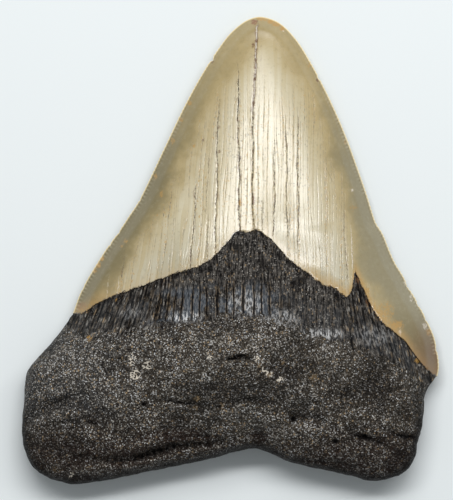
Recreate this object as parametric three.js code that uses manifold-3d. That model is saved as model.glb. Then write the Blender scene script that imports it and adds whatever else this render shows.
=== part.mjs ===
// Fossil tooth of a very large extinct shark, grown as one piece: a broad enamel crown on a thick root.
// It lies on its flat outer face with the domed inner face up and the point towards +Y.
// Millimetres, +Z up. The origin is on the resting plane, under the middle of the tooth's box.

import * as THREE from 'three';
import { mergeVertices } from 'three/addons/utils/BufferGeometryUtils.js';
import Module from 'manifold-3d';

// Thickness of the tooth, as heights above the plane it rests on
const crownBaseHeight = 19;
const crownTipHeight = 5;
const crownTaper = 0.75;
const crownLength = 75;
const crownTipFullness = 1.2;
const crownBaseFullness = 0.75;
const tipY = 59;
const tipRounding = 4;
const cuttingEdgeHeight = 3;
const rootRimHeight = 8;
const lobeHeight = 17;
const bulgeHeight = 26.5;
const bulgeCentre = [4, -27];
const bulgeSpread = [27, 15];
const rootRounding = 15;
const undersideRounding = 10;
const undersideFlatness = 2.4;

// Heights above or below a border between which one shape gives way to the next
const crownBlend = [-14, 4];
const lumpBlend = [-14, -8];
const underBlend = [-5, 5];
const rimBlend = [-58, -5];

// Enamel, its ledge over the root, and the fine relief
const enamelThickness = 0.6;
const bladeWidth = 1.3;
const marginTrough = 0.35;
const marginTroughInset = 5.5;
const marginTroughWidth = 2.5;
const serrationPitch = 0.95;
const serrationDepth = 0.4;
const wornTipLength = 14;
const rootLumpHeight = 1.5;
const rootLumpSize = [9, 6];
const rootKnobHeight = 0.7;
const rootKnobSize = [3.2, 2.4];
const underLumpShare = 0.35;
const neckRidgeHeight = 0.35;
const underHollow = 1.8;
const underHollowCentre = [4, -36];
const underHollowSpread = [22, 13];

// Flat patches it rests on: how far the face would reach below the plane there, and where the crown's is
const padDepth = 0.3;
const crownPad = [4, 40];
const crownPadFade = 8;
const tipLiftStart = 42;
const tipLiftShare = 0.6;

// Outline from above, in mm: each list runs from the first named end to the second
const lowerEdge = [
  [-48, -56.2], [-39.7, -59], [-30.1, -57.8], [-21, -55.9], [-11.9, -54.1], [-3.6, -52.3],
  [2.5, -50.5], [5.8, -50], [8.7, -50.6], [15.1, -53.4], [22.9, -55.3], [31, -57],
  [35.2, -58.1], [42.6, -56.8],
];
const leftRootSide = [
  [-48, -56.2], [-52.2, -50.4], [-52.7, -46.3], [-52.3, -39], [-51.9, -33.7], [-50.9, -29.7],
  [-48, -26.1], [-44.5, -22.1], [-41.4, -18.3],
];
const rightRootSide = [
  [42.6, -56.8], [46.8, -52.3], [47.2, -49], [48.3, -45.3], [48.9, -40], [48.9, -36.1],
  [50.7, -33.7],
];
const leftCorner = [-39.7, -15.9];
const rightCorner = [52.2, -31.8];
const cuttingEdge = [
  leftCorner, [-37.5, -10], [-31.6, 0.1], [-23.3, 12.2], [-16.5, 26.2], [-11.7, 36.2],
  [-7.1, 44.6], [-3.3, 50.5], [0, 54.8], [4, 58], [7.3, 59], [10.7, 58.3], [13.2, 56.9],
  [15.5, 54.7], [18.5, 50.5], [21.9, 44.6], [25, 38.4], [31.5, 22.2], [34.3, 14.3],
  [36.7, 6.8], [38.7, 3.6], [42.1, -3.9], [46.4, -11.8], [50.7, -20.1], [52.1, -24.6],
  [52.7, -28.9], rightCorner,
];

// Where the enamel ends on the domed face and on the flat face, and where the smooth neck ends
const enamelLine = [
  leftCorner, [-37.4, -16], [-32.9, -13.2], [-26.6, -10.6], [-21.5, -8.9], [-16.7, -7.1],
  [-10.6, -5.1], [-6.9, -3.7], [-4.7, -2.3], [-1, 1.6], [2, 4.6], [4.3, 4.2], [7, 4.7],
  [11.1, 1.5], [15.1, -2.9], [19.9, -6.2], [22.9, -9], [29, -12.3], [30.9, -6.2],
  [34, -11.6], [36.5, -16.5], [42.9, -22.6], [48.7, -29.7], [51, -31.7], rightCorner,
];
const underEnamelLine = [
  leftCorner, [-32.9, -20.1], [-20.2, -23.4], [-7.6, -22.9], [5, -21.6], [17.6, -23.1],
  [30.3, -26.7], [42.9, -29.7], rightCorner,
];
// The same border without its small steps, along which the root's roundness gives way to the crown's
const crownLimit = [
  leftCorner, [-24, -10], [-8, -3.5], [4.5, 4], [18, -5.5], [36, -16], rightCorner,
];
const neckLine = [
  [-41.4, -18.3], [-36.9, -21.3], [-27.8, -20.3], [-18.5, -19], [-3.3, -17.2], [5, -16.6],
  [12.6, -17.6], [18.9, -21.1], [27, -22.9], [33.8, -25.3], [40.6, -27.9], [47.3, -32.7],
  [50.7, -33.7],
];

// Small nicks in the cutting edge: how far along it, how wide and how deep
const nicks = [
  { along: 0.116, width: 0.7, depth: 0.7 },
  { along: 0.14, width: 0.5, depth: 0.5 },
  { along: 0.385, width: 0.8, depth: 0.5 },
  { along: 0.555, width: 0.8, depth: 0.6 },
];

// Grooves with a pointed section that taper to both ends: creases and the nutrient slit in the root,
// then the cracks that run up the enamel
const grooves = [
  { width: 2, depth: 1.2, route: [[-34, -52], [-24.8, -52.7], [-17.5, -50.4], [-9.9, -48.4], [1, -48]] },
  { width: 1.4, depth: 0.9, route: [[-24, -38.4], [-19.6, -37.5], [-14.4, -37.8], [-5, -38.8]] },
  { width: 2.2, depth: 2.5, route: [[-1.5, -27.4], [1.7, -26.4], [4.6, -27.2], [7.4, -28.4]] },
  { width: 1.2, depth: 0.8, route: [[39.5, -44.8], [43.6, -46.6], [46.6, -46.3]] },
  { width: 0.7, depth: 0.5, route: [[6.7, 55.5], [5.9, 42.8], [5.6, 30.4], [5.8, 16], [5.8, 5.2]] },
  { width: 0.5, depth: 0.4, route: [[2.3, 45.6], [1.6, 30.9], [2.5, 18.8], [2.6, 5.4]] },
  { width: 0.5, depth: 0.4, route: [[-3, 32.9], [-3.3, 19.4], [-3.6, 3]] },
  { width: 0.5, depth: 0.4, route: [[-8.3, 19.4], [-9.5, 6], [-9.7, -3.4]] },
  { width: 0.5, depth: 0.4, route: [[14.1, 31.2], [14.2, 18], [14.3, 7.2]] },
  { width: 0.6, depth: 0.4, route: [[29.6, 6.7], [30.8, -4.6]] },
];
const pits = [
  { at: [12, -31], radius: 1.5 }, { at: [16, -42.3], radius: 1.1 }, { at: [26.6, -47.8], radius: 1 },
  { at: [34.1, -46.6], radius: 0.9 }, { at: [-22, -38.2], radius: 1 }, { at: [-8, -37], radius: 0.8 },
  { at: [-38, -43], radius: 1 }, { at: [29, -36], radius: 1 }, { at: [-30, -30], radius: 0.9 },
];

const pitLift = 0.3;

// Grooves further up than this run in the enamel
const enamelStart = -20;

// Mesh density: steps along the borders, then columns and rows of each sheet
const enamelSteps = 92;
const underEnamelSteps = 32;
const lowerEdgeSteps = 44;
const sideSteps = 16;
const bladeSteps = 76;
const leftBladeSteps = 32;
const tipBladeSteps = 4;
const crownTopMesh = [22, 34];
const crownUnderMesh = [14, 24];
const neckRows = 4;
const rootTopMesh = [44, 16];
const rootUnderMesh = [40, 14];

function curveThrough(points) {
  const knots = points.map(([x, y]) => new THREE.Vector3(x, y, 0));
  return new THREE.CatmullRomCurve3(knots, false, 'centripetal');
}

const mix = THREE.MathUtils.lerp;
const ease = THREE.MathUtils.smoothstep;
const quarterRound = (t) => Math.sqrt(1 - (1 - Math.min(Math.max(t, 0), 1)) ** 2);
const hill = (x, y, [cx, cy], [sx, sy]) => Math.exp(-(((x - cx) / sx) ** 2) - ((y - cy) / sy) ** 2);

const edgeCurve = curveThrough(cuttingEdge);
const leftRootCurve = curveThrough(leftRootSide);
const rightRootCurve = curveThrough(rightRootSide);
const lowerCurve = curveThrough(lowerEdge);
const enamelCurve = curveThrough(enamelLine);
const crownLimitCurve = curveThrough(crownLimit);
const underEnamelCurve = curveThrough(underEnamelLine);
const neckCurve = curveThrough(neckLine);

const curveSteps = 200;
const sideCurveSteps = 40;
const lowerCurveSteps = 80;
const edgePoints = edgeCurve.getSpacedPoints(curveSteps);
const tipIndex = edgePoints.reduce((best, p, i) => (p.y > edgePoints[best].y ? i : best), 0);
const leftSide = [
  ...leftRootCurve.getSpacedPoints(sideCurveSteps),
  ...edgePoints.slice(0, tipIndex + 1),
];
const rightSide = [
  ...rightRootCurve.getSpacedPoints(sideCurveSteps),
  ...edgePoints.slice(tipIndex).reverse(),
];
const outline = [...lowerCurve.getSpacedPoints(lowerCurveSteps), ...rightSide, ...[...leftSide].reverse()];
const crownLimitPoints = crownLimitCurve.getSpacedPoints(curveSteps);
const underEnamelPoints = underEnamelCurve.getSpacedPoints(curveSteps);

// Value of one coordinate of a line where its other coordinate is t
function across(line, from, to, t) {
  for (let i = 1; i < line.length; i += 1) {
    const a = line[i - 1];
    const b = line[i];
    if (t <= b[from]) {
      const span = b[from] - a[from];
      return span > 0 ? mix(a[to], b[to], Math.max((t - a[from]) / span, 0)) : b[to];
    }
  }
  return line[line.length - 1][to];
}

function distanceToOutline(x, y) {
  let nearest = Infinity;
  for (let i = 0; i < outline.length; i += 1) {
    const a = outline[i];
    const b = outline[(i + 1) % outline.length];
    const [ex, ey] = [b.x - a.x, b.y - a.y];
    const length2 = ex * ex + ey * ey || 1;
    const t = THREE.MathUtils.clamp(((x - a.x) * ex + (y - a.y) * ey) / length2, 0, 1);
    nearest = Math.min(nearest, Math.hypot(x - a.x - t * ex, y - a.y - t * ey));
  }
  return nearest;
}

// Place across the tooth: -1 on its left side, 0 in the middle, 1 on its right side
function crossPlace(x, y) {
  const left = across(leftSide, 'y', 'x', y);
  const right = across(rightSide, 'y', 'x', y);
  return THREE.MathUtils.clamp((2 * (x - left)) / (right - left) - 1, -1, 1);
}

const rimHeight = (y) => mix(rootRimHeight, cuttingEdgeHeight, ease(y, ...rimBlend));

function crownTop(x, y, inset) {
  const s = crossPlace(x, y);
  const rise = Math.max((tipY - y) / crownLength, 0) ** crownTaper;
  const ridge = mix(crownTipHeight, crownBaseHeight, rise);
  const dome = (1 - s * s) ** mix(crownTipFullness, crownBaseFullness, Math.min(rise, 1));
  const trough = marginTrough * Math.exp(-(((inset - marginTroughInset) / marginTroughWidth) ** 2));
  const rim = rimHeight(y);
  return rim + (ridge - rim) * dome * quarterRound((tipY - y) / tipRounding) - trough;
}

// Smooth irregular waves between -0.5 and 0.5, one step of the pattern for each unit of x and y
function waves(x, y) {
  const [i, j] = [Math.floor(x), Math.floor(y)];
  const value = (a, b) => {
    const mixed = Math.sin(127.1 * a + 311.7 * b) * 43758.5453;
    return mixed - Math.floor(mixed) - 0.5;
  };
  const u = ease(x - i, 0, 1);
  const v = ease(y - j, 0, 1);
  return mix(mix(value(i, j), value(i + 1, j), u), mix(value(i, j + 1), value(i + 1, j + 1), u), v);
}

function rootLumps(x, y) {
  const lump = waves(x / rootLumpSize[0], y / rootLumpSize[1]);
  const knob = waves((x + 0.5 * y) / rootKnobSize[0], (y - 0.5 * x) / rootKnobSize[1]);
  return rootLumpHeight * lump + rootKnobHeight * knob;
}

function rootTop(x, y, inset) {
  const full = lobeHeight + (bulgeHeight - lobeHeight) * hill(x, y, bulgeCentre, bulgeSpread);
  const rim = rimHeight(y);
  return rim + (full - rim) * quarterRound(inset / rootRounding);
}

// Height of the domed face
function topHeight(x, y) {
  const inset = distanceToOutline(x, y);
  const aboveLimit = y - across(crownLimitPoints, 'x', 'y', x);
  const crown = ease(aboveLimit, ...crownBlend);
  const lumps = rootLumps(x, y) * (1 - ease(aboveLimit, ...lumpBlend)) * ease(inset, 0, 2.5);
  return mix(rootTop(x, y, inset), crownTop(x, y, inset), crown) + lumps;
}

// Height of the flat face, which touches the resting plane on the crown and on both root lobes
function underHeight(x, y) {
  const inset = distanceToOutline(x, y);
  const rim = rimHeight(y);
  const s = Math.abs(crossPlace(x, y));
  const [padStart, padEnd] = crownPad;
  const onPad = ease(y, padStart - crownPadFade, padStart) * (1 - ease(y, padEnd, padEnd + crownPadFade));
  const reach = padDepth * (3 * onPad - 2) - tipLiftShare * rim * ease(y, tipLiftStart, tipY);
  const crownFace = rim - (rim + reach) * (1 - s ** undersideFlatness);
  const hollow = underHollow * hill(x, y, underHollowCentre, underHollowSpread);
  const rootFloor = hollow - padDepth + underLumpShare * rootLumps(x, y);
  const rootFace = rim - (rim - rootFloor) * quarterRound(inset / undersideRounding);
  const aboveEnamelLine = y - across(underEnamelPoints, 'x', 'y', x);
  return Math.max(mix(rootFace, crownFace, ease(aboveEnamelLine, ...underBlend)), 0);
}

const triangles = [];

function addTriangle(a, b, c, flip) {
  triangles.push(...(flip ? [a, c, b] : [a, b, c]));
}

// Band of triangles between two lines that may have different numbers of points
function stitch(lower, upper, flip) {
  let i = 0;
  let j = 0;
  while (i < lower.length - 1 || j < upper.length - 1) {
    const nextLower = (i + 1) / (lower.length - 1);
    const nextUpper = (j + 1) / (upper.length - 1);
    if (j === upper.length - 1 || (i < lower.length - 1 && nextLower <= nextUpper)) {
      addTriangle(lower[i], lower[i + 1], upper[j], flip);
      i += 1;
    } else {
      addTriangle(lower[i], upper[j + 1], upper[j], flip);
      j += 1;
    }
  }
}

// Point at a share of the way along a line of evenly spaced points
function along(line, share) {
  const place = share * (line.length - 1);
  const i = Math.min(Math.floor(place), line.length - 2);
  return line[i].clone().lerp(line[i + 1], place - i);
}

// Sheet between four border lines. bottom and top run left to right, left and right run upwards.
function addSheet({ bottom, top, left, right }, columns, rows, height, flip, spread = (t) => t) {
  const corner = [bottom[0], bottom[bottom.length - 1], top[0], top[top.length - 1]];
  const inside = (i, j) => {
    const u = spread(i / columns);
    const v = j / rows;
    const p = along(bottom, u).multiplyScalar(1 - v).addScaledVector(along(top, u), v);
    p.addScaledVector(along(left, v), 1 - u).addScaledVector(along(right, v), u);
    p.addScaledVector(corner[0], -(1 - u) * (1 - v)).addScaledVector(corner[1], -u * (1 - v));
    p.addScaledVector(corner[2], -(1 - u) * v).addScaledVector(corner[3], -u * v);
    return new THREE.Vector3(p.x, p.y, height(p.x, p.y, i));
  };
  const grid = [];
  for (let j = 1; j < rows; j += 1) {
    grid.push(Array.from({ length: columns - 1 }, (_, i) => inside(i + 1, j)));
  }
  for (let j = 1; j < grid.length; j += 1) {
    stitch(grid[j - 1], grid[j], flip);
  }
  const last = columns - 2;
  stitch(bottom, grid[0], flip);
  stitch(grid[grid.length - 1], top, flip);
  stitch(grid.map((row) => row[0]), left, flip);
  stitch(right, grid.map((row) => row[last]), flip);
}

const lifted = (points, height) => points.map((p) => new THREE.Vector3(p.x, p.y, height(p.x, p.y)));
const onRim = (points) => lifted(points, (x, y) => rimHeight(y));

// Cutting edge cut into small teeth, worn smooth towards the point
function serratedEdge() {
  const teeth = Math.round(edgeCurve.getLength() / serrationPitch);
  const points = edgeCurve.getSpacedPoints(2 * teeth);
  return points.map((p, i) => {
    const share = i / (points.length - 1);
    const tangent = edgeCurve.getTangentAt(share);
    const worn = ease(tipY - p.y, 0, wornTipLength) * ease(Math.min(share, 1 - share), 0, 0.02);
    let depth = (i % 2) * serrationDepth * worn;
    for (const nick of nicks) {
      const off = ((share - nick.along) * edgeCurve.getLength()) / nick.width;
      depth += nick.depth * Math.exp(-off * off);
    }
    return new THREE.Vector3(p.x + tangent.y * depth, p.y - tangent.x * depth, rimHeight(p.y));
  });
}

// Line just inside the cutting edge, where the blade starts to thicken
function bladeLine(height, first, last) {
  const points = edgeCurve.getSpacedPoints(bladeSteps).map((p, i) => {
    const tangent = edgeCurve.getTangentAt(i / bladeSteps);
    return new THREE.Vector3(p.x + tangent.y * bladeWidth, p.y - tangent.x * bladeWidth, 0);
  });
  const line = lifted(points, height);
  line[0] = first;
  line[bladeSteps] = last;
  return line;
}

function addCrownFace(height, enamelEdge, columns, rows, flip) {
  const blade = bladeLine(height, enamelEdge[1], enamelEdge[enamelEdge.length - 2]);
  const tipStart = leftBladeSteps;
  const tipEnd = leftBladeSteps + tipBladeSteps;
  const sides = {
    bottom: enamelEdge.slice(1, -1),
    top: blade.slice(tipStart, tipEnd + 1),
    left: blade.slice(0, tipStart + 1),
    right: blade.slice(tipEnd).reverse(),
  };
  addSheet(sides, columns, rows, height, flip);
  stitch(blade, serratedEdge(), flip);
}

// Points of a line at even steps across the tooth
function stepsAcross(curve, steps) {
  const points = curve.getSpacedPoints(curveSteps);
  const [first, last] = [points[0], points[curveSteps]];
  return Array.from({ length: steps + 1 }, (_, i) => {
    const x = mix(first.x, last.x, i / steps);
    return new THREE.Vector3(x, i === steps ? last.y : across(points, 'x', 'y', x), 0);
  });
}

function buildTooth() {
  const enamel = lifted(stepsAcross(enamelCurve, enamelSteps), topHeight);
  const underEnamel = lifted(underEnamelCurve.getSpacedPoints(underEnamelSteps), underHeight);
  const corners = onRim([edgePoints[0], edgePoints[curveSteps]]);
  for (const line of [enamel, underEnamel]) {
    line[0] = corners[0];
    line[line.length - 1] = corners[1];
  }
  const ledge = (line, step) => line.map((p, i) => {
    const share = i / (line.length - 1);
    const z = p.z + step * Math.min(1, 20 * share, 20 * (1 - share));
    return new THREE.Vector3(p.x, p.y, Math.max(z, 0));
  });
  const crownTopEdge = ledge(enamel, enamelThickness);
  const crownUnderEdge = ledge(underEnamel, -enamelThickness / 2);
  const enamelTop = (x, y) => topHeight(x, y) + enamelThickness;
  const enamelUnder = (x, y) => Math.max(underHeight(x, y) - enamelThickness / 2, 0);
  addCrownFace(enamelTop, crownTopEdge, ...crownTopMesh, false);
  addCrownFace(enamelUnder, crownUnderEdge, ...crownUnderMesh, true);
  stitch(enamel, crownTopEdge, false);
  stitch(underEnamel, crownUnderEdge, true);

  const neck = lifted(stepsAcross(neckCurve, enamelSteps), topHeight);
  const lower = onRim(lowerCurve.getSpacedPoints(lowerEdgeSteps));
  const left = onRim(leftRootCurve.getSpacedPoints(sideSteps));
  const right = onRim(rightRootCurve.getSpacedPoints(sideSteps));
  neck[0] = left[sideSteps];
  neck[enamelSteps] = right[sideSteps];
  left[0] = lower[0];
  right[0] = lower[lowerEdgeSteps];
  const neckSides = {
    bottom: neck,
    top: enamel,
    left: [neck[0], corners[0]],
    right: [neck[enamelSteps], corners[1]],
  };
  const ridged = (x, y, i) => topHeight(x, y) + (i % 2) * neckRidgeHeight;
  addSheet(neckSides, enamelSteps, neckRows, ridged, false);
  const towardsRim = (t) => mix(t, 0.5 - 0.5 * Math.cos(Math.PI * t), 0.7);
  addSheet({ bottom: lower, top: neck, left, right }, ...rootTopMesh, topHeight, false, towardsRim);
  const underSides = {
    bottom: lower,
    top: underEnamel,
    left: [...left, corners[0]],
    right: [...right, corners[1]],
  };
  addSheet(underSides, ...rootUnderMesh, underHeight, true, towardsRim);
}

function toSolid(library, geometry) {
  geometry.deleteAttribute('normal');
  geometry.deleteAttribute('uv');
  const merged = mergeVertices(geometry, 1e-4);
  const vertProperties = new Float32Array(merged.attributes.position.array);
  const triVerts = new Uint32Array(merged.index.array);
  return new library.Manifold(new library.Mesh({ numProp: 3, vertProperties, triVerts }));
}

// Cutter for one groove: a bar with a diamond section that tapers to a point at both ends
function grooveCutter({ width, depth, route }) {
  const path = curveThrough(route);
  const steps = 3 * (route.length - 1);
  const ring = (i) => {
    const p = path.getPointAt(i / steps);
    const size = Math.sin((Math.PI * i) / steps) ** 0.5;
    const tangent = path.getTangentAt(i / steps);
    const surfaceHeight = topHeight(p.x, p.y) + (p.y > enamelStart ? enamelThickness : 0);
    const side = new THREE.Vector3(-tangent.y, tangent.x, 0).multiplyScalar((size * width) / 2);
    const up = new THREE.Vector3(0, 0, size * depth);
    const centre = new THREE.Vector3(p.x, p.y, surfaceHeight);
    const section = [side, up.clone().negate(), side.clone().negate(), up];
    return section.map((step) => centre.clone().add(step));
  };
  const corners = [];
  for (let i = 0; i < steps; i += 1) {
    const [near, far] = [ring(i), ring(i + 1)];
    for (let k = 0; k < 4; k += 1) {
      const next = (k + 1) % 4;
      corners.push(near[k], far[k], far[next], near[k], far[next], near[next]);
    }
  }
  return new THREE.BufferGeometry().setFromPoints(corners);
}

function pitCutter({ at: [x, y], radius }) {
  return new THREE.IcosahedronGeometry(radius, 1).translate(x, y, topHeight(x, y) + pitLift * radius);
}

buildTooth();
const library = await Module();
library.setup();
const surface = new THREE.BufferGeometry().setFromPoints(triangles);
let solid = toSolid(library, surface);
for (const cutter of [...grooves.map(grooveCutter), ...pits.map(pitCutter)]) {
  solid = solid.subtract(toSolid(library, cutter));
}
const result = solid.getMesh();
const geometry = new THREE.BufferGeometry();
geometry.setAttribute('position', new THREE.BufferAttribute(result.vertProperties, 3));
geometry.setIndex(new THREE.BufferAttribute(result.triVerts, 1));
geometry.computeBoundingBox();
const middle = geometry.boundingBox.getCenter(new THREE.Vector3());
geometry.translate(-middle.x, -middle.y, -geometry.boundingBox.min.z);
geometry.computeVertexNormals();

const tooth = new THREE.Mesh(
  geometry,
  new THREE.MeshStandardMaterial({ color: 0x8f8468, roughness: 0.45, metalness: 0 }),
);
tooth.name = 'tooth';

const part = new THREE.Group();
part.add(tooth);
export default part;
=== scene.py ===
import math
from collections import namedtuple

import bpy
import numpy as np
from bpy.props import FloatProperty, FloatVectorProperty, IntProperty, PointerProperty
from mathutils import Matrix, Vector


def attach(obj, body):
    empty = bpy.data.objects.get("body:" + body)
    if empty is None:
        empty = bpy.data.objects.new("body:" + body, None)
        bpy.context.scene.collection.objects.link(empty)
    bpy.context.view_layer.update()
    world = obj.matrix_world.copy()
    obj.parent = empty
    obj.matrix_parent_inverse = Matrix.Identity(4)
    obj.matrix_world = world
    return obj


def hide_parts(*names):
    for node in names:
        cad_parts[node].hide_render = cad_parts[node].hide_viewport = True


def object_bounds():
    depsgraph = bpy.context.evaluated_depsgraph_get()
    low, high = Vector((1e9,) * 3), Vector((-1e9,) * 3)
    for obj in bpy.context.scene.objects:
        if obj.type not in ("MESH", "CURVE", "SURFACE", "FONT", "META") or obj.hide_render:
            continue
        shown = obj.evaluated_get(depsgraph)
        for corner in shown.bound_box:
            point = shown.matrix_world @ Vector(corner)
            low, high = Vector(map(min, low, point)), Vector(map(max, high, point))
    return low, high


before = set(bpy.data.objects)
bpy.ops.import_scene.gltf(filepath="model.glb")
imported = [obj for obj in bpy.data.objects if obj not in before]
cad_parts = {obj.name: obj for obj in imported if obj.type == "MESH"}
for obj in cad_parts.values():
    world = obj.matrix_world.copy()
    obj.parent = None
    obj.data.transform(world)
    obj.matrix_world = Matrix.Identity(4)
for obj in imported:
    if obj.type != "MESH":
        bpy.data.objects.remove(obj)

# Fossil tooth of a very large extinct shark, grown as one piece: a broad enamel crown on a thick root.
# It lies on its flat outer face with the domed inner face up and the point towards +Y.
# Lines and heights are in millimetres, as in the part's source, and become metres in the meshes.

bl_info = {
    "name": "Fossil tooth",
    "version": (1, 0, 0),
    "blender": (4, 5, 0),
    "location": "3D View > Sidebar > Tooth",
    "description": "Models a serrated fossil tooth with its enamel, neck and root, and a pale studio",
    "category": "Object",
}

CAD_BOX = [[float(value) for value in corner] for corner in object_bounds()]
MM = 0.001

# Thickness of the tooth, as heights above the plane it rests on, and how its faces round off
CROWN_BASE_HEIGHT = 19
CROWN_TIP_HEIGHT = 5
CROWN_TAPER = 0.75
CROWN_LENGTH = 75
CROWN_TIP_FULLNESS = 1.2
CROWN_BASE_FULLNESS = 0.75
TIP_Y = 59
TIP_ROUNDING = 4
CUTTING_EDGE_HEIGHT = 3
ROOT_RIM_HEIGHT = 8
LOBE_HEIGHT = 17
BULGE_HEIGHT = 26.2
BULGE_CENTRE = (4, -27)
BULGE_SPREAD = (27, 15)
ROOT_ROUNDING = 15
UNDERSIDE_ROUNDING = 10
UNDERSIDE_FLATNESS = 2.4

# Heights above or below a border between which one shape gives way to the next
CROWN_BLEND = (-14, 4)
LUMP_BLEND = (-14, -8)
UNDER_BLEND = (-5, 5)
RIM_BLEND = (-58, -5)

# Blade behind the cutting edge, worn point, lumps of the root, and the flat face with its pads
BLADE_BAND = (-1.0, 3.4)
MARGIN_TROUGH = 0.35
MARGIN_TROUGH_INSET = 5.5
MARGIN_TROUGH_WIDTH = 2.5
MARGIN_TROUGH_BAND = (-1, 5)
WORN_TIP_LENGTH = 14
ROOT_LUMP_HEIGHT = 1.5
ROOT_LUMP_SIZE = (9, 6)
ROOT_KNOB_HEIGHT = 0.7
ROOT_KNOB_SIZE = (3.2, 2.4)
UNDER_LUMP_SHARE = 0.35
UNDER_HOLLOW = 1.8
UNDER_HOLLOW_CENTRE = (4, -36)
UNDER_HOLLOW_SPREAD = (22, 13)
PAD_DEPTH = 0.3
CROWN_PAD = (4, 40)
CROWN_PAD_FADE = 8
TIP_LIFT_START = 42
TIP_LIFT_SHARE = 0.6

# Outline from above: the lower edge from left to right, the sides of the root upwards from it, and
# the cutting edge from the left corner over the point to the right corner
LOWER_EDGE = (
    (-48.1, -56.1), (-45.6, -57.4), (-43, -58.3), (-39.7, -59), (-30.1, -57.8), (-21, -55.9),
    (-11.9, -54.1), (-3.6, -52.3), (2.5, -50.5), (5.8, -50), (8.7, -50.6), (15.1, -53.4),
    (22.9, -55.3), (31, -57), (35.2, -58.1), (38.9, -57.8), (42.6, -56.8),
)
LEFT_ROOT_SIDE = (
    (-48.1, -56.1), (-49.8, -54.5), (-50.9, -52.9), (-51.8, -50.6), (-52.4, -47.8), (-52.6, -44.5),
    (-52.2, -39), (-51.9, -34.5), (-51.5, -31.2), (-50.2, -28.7), (-47.8, -26.1), (-44.3, -22.1),
    (-41.4, -18.3),
)
RIGHT_ROOT_SIDE = (
    (42.6, -56.8), (44.97, -55.1), (46.07, -53.3), (47.07, -51), (47.27, -49), (48.17, -45.6),
    (48.87, -41), (49.17, -37), (49.77, -35.2), (50.7, -33.7),
)
LEFT_CORNER = (-39.7, -15.9)
RIGHT_CORNER = (52.2, -31.8)
CUTTING_EDGE = (
    LEFT_CORNER, (-37.5, -10), (-31.5, 0.1), (-28.4, 4.4), (-25.5, 8.8), (-23.1, 12.5),
    (-16.5, 26.2), (-11.7, 36.2), (-7.1, 44.6), (-3.3, 50.5), (0, 54.8), (4, 58), (7.3, 59),
    (10.7, 58.3), (13.2, 56.9), (16, 54.1), (18.2, 51.1), (20, 48.1), (21.7, 45.1), (24.8, 39),
    (27.6, 32.9), (30, 26.9), (32.2, 20.8), (34.3, 14.8), (36.1, 9), (36.9, 6.8), (38.5, 4.3),
    (40.4, -0.4), (41.8, -3.4), (43.6, -6.3), (45.3, -9.6), (47, -12.5), (48.6, -15.5),
    (50.1, -18.6), (51.4, -21.6), (52.1, -24.6), (52.6, -28), (52.6, -30), RIGHT_CORNER,
)
# How many steps a curve has between two of these points, and how many points the finished lines have
CURVE_STEPS = 32
EDGE_POINTS = 360
LEFT_POINTS = 50
RIGHT_POINTS = 40
LOWER_POINTS = 100
ENAMEL_POINTS = 400
LINE_POINTS = 300

# Where the enamel ends on the domed face and on the flat face, about where the crown's shape ends,
# and where the neck ends
ENAMEL_LINE = (
    LEFT_CORNER, (-37.4, -16), (-32.9, -13.2), (-26.6, -10.6), (-21.5, -8.9), (-16.7, -7.1),
    (-10.6, -5.1), (-6.9, -3.7), (-4.7, -2.3), (-1, 1.6), (2, 4.6), (4.3, 4.2), (7, 4.7),
    (11.1, 1.5), (15.1, -2.9), (19.9, -6.2), (22.9, -8.6), (26.4, -9.8), (29.1, -11.9), (30.4, -10.4),
    (31.3, -5.9), (33.7, -10.5), (35.8, -14.9), (38.6, -18.6), (43.4, -22.6), (48.4, -29),
    (51, -31.4), RIGHT_CORNER,
)
UNDER_ENAMEL_LINE = (
    LEFT_CORNER, (-32.9, -20.1), (-20.2, -23.4), (-7.6, -22.9), (5, -21.6), (17.6, -23.1),
    (30.3, -26.7), (42.9, -29.7), RIGHT_CORNER,
)
CROWN_LIMIT = (
    LEFT_CORNER, (-24, -10), (-8, -3.5), (4.5, 4), (18, -5.5), (36, -16), RIGHT_CORNER,
)
NECK_LINE = (
    (-41.4, -18.3), (-36.9, -21.3), (-27.8, -20.3), (-18.5, -19), (-3.3, -17.2), (5, -16.6),
    (12.6, -17.6), (18.9, -21.1), (27, -22.9), (33.8, -25.3), (40.6, -27.9), (47.3, -32.7),
    (50.7, -33.7),
)

# Serrations: how pointed they are, their usual size, the drift of their steps and the change of their
# size, both with the length of their waves, how far in they reach and how deep their furrows are
SERRATION_SHARPNESS = 1.6
SERRATION_SIZE = 0.8
SERRATION_DRIFT = (0.5, 3.1)
SERRATION_VARIETY = (0.7, 5.3)
SERRATION_REACH = 1.3
SERRATION_TICK = 0.16
# Share of the cutting edge at both of its ends over which they come in
SERRATION_START = 0.02
# Small nicks in the cutting edge: place, width and depth
NICKS = (
    (-37.2, -9.5, 0.6, 0.15), (-30.2, 1.4, 0.5, 0.25), (-28.2, 4.5, 0.6, 0.2), (-22.8, 12.7, 0.35, 0.2),
    (-4.7, 48.3, 0.6, 0.5), (22.4, 43.6, 0.5, 0.3), (45, -9, 1.1, 0.3), (47.6, -13.6, 0.9, 0.3),
    (49.6, -17.4, 0.6, 0.25), (52.2, -24.9, 0.7, 0.25),
)

# Waves in the root's worn outline and in the ragged border of the enamel: height, length and, for
# the border, the place in the pattern of waves
OUTLINE_WEAR = ((0.18, 1.7), (0.14, 0.8))
RAGGED_BORDER = ((0.4, 1.3, 7.5), (0.35, 0.5, 2.5))
RAGGED_REACH = 1.4
# Distances from the outline over which the forms of the surface come in
TICK_FADE = 0.4
LEDGE_FADE = 1.2
CRACK_FADE = 2
RAGGED_FADE = 2.5
LUMP_FADE = 2.5
RELIEF_FADE = 3
ROUGH_FADE = 1.5
# Share of the tooth's width at both ends of the ledge over which it runs out, its height on the flat
# face as a share of that above, and the rows over which the root's relief gives way to the neck's
LEDGE_END = 0.05
UNDER_LEDGE = 0.5
NECK_BLEND_ROWS = 2.5
# How much the large lumps count where raised parts are painted lighter and low parts darker, as painted
# light and shade
RELIEF_OF_LUMPS = 0.9

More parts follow.
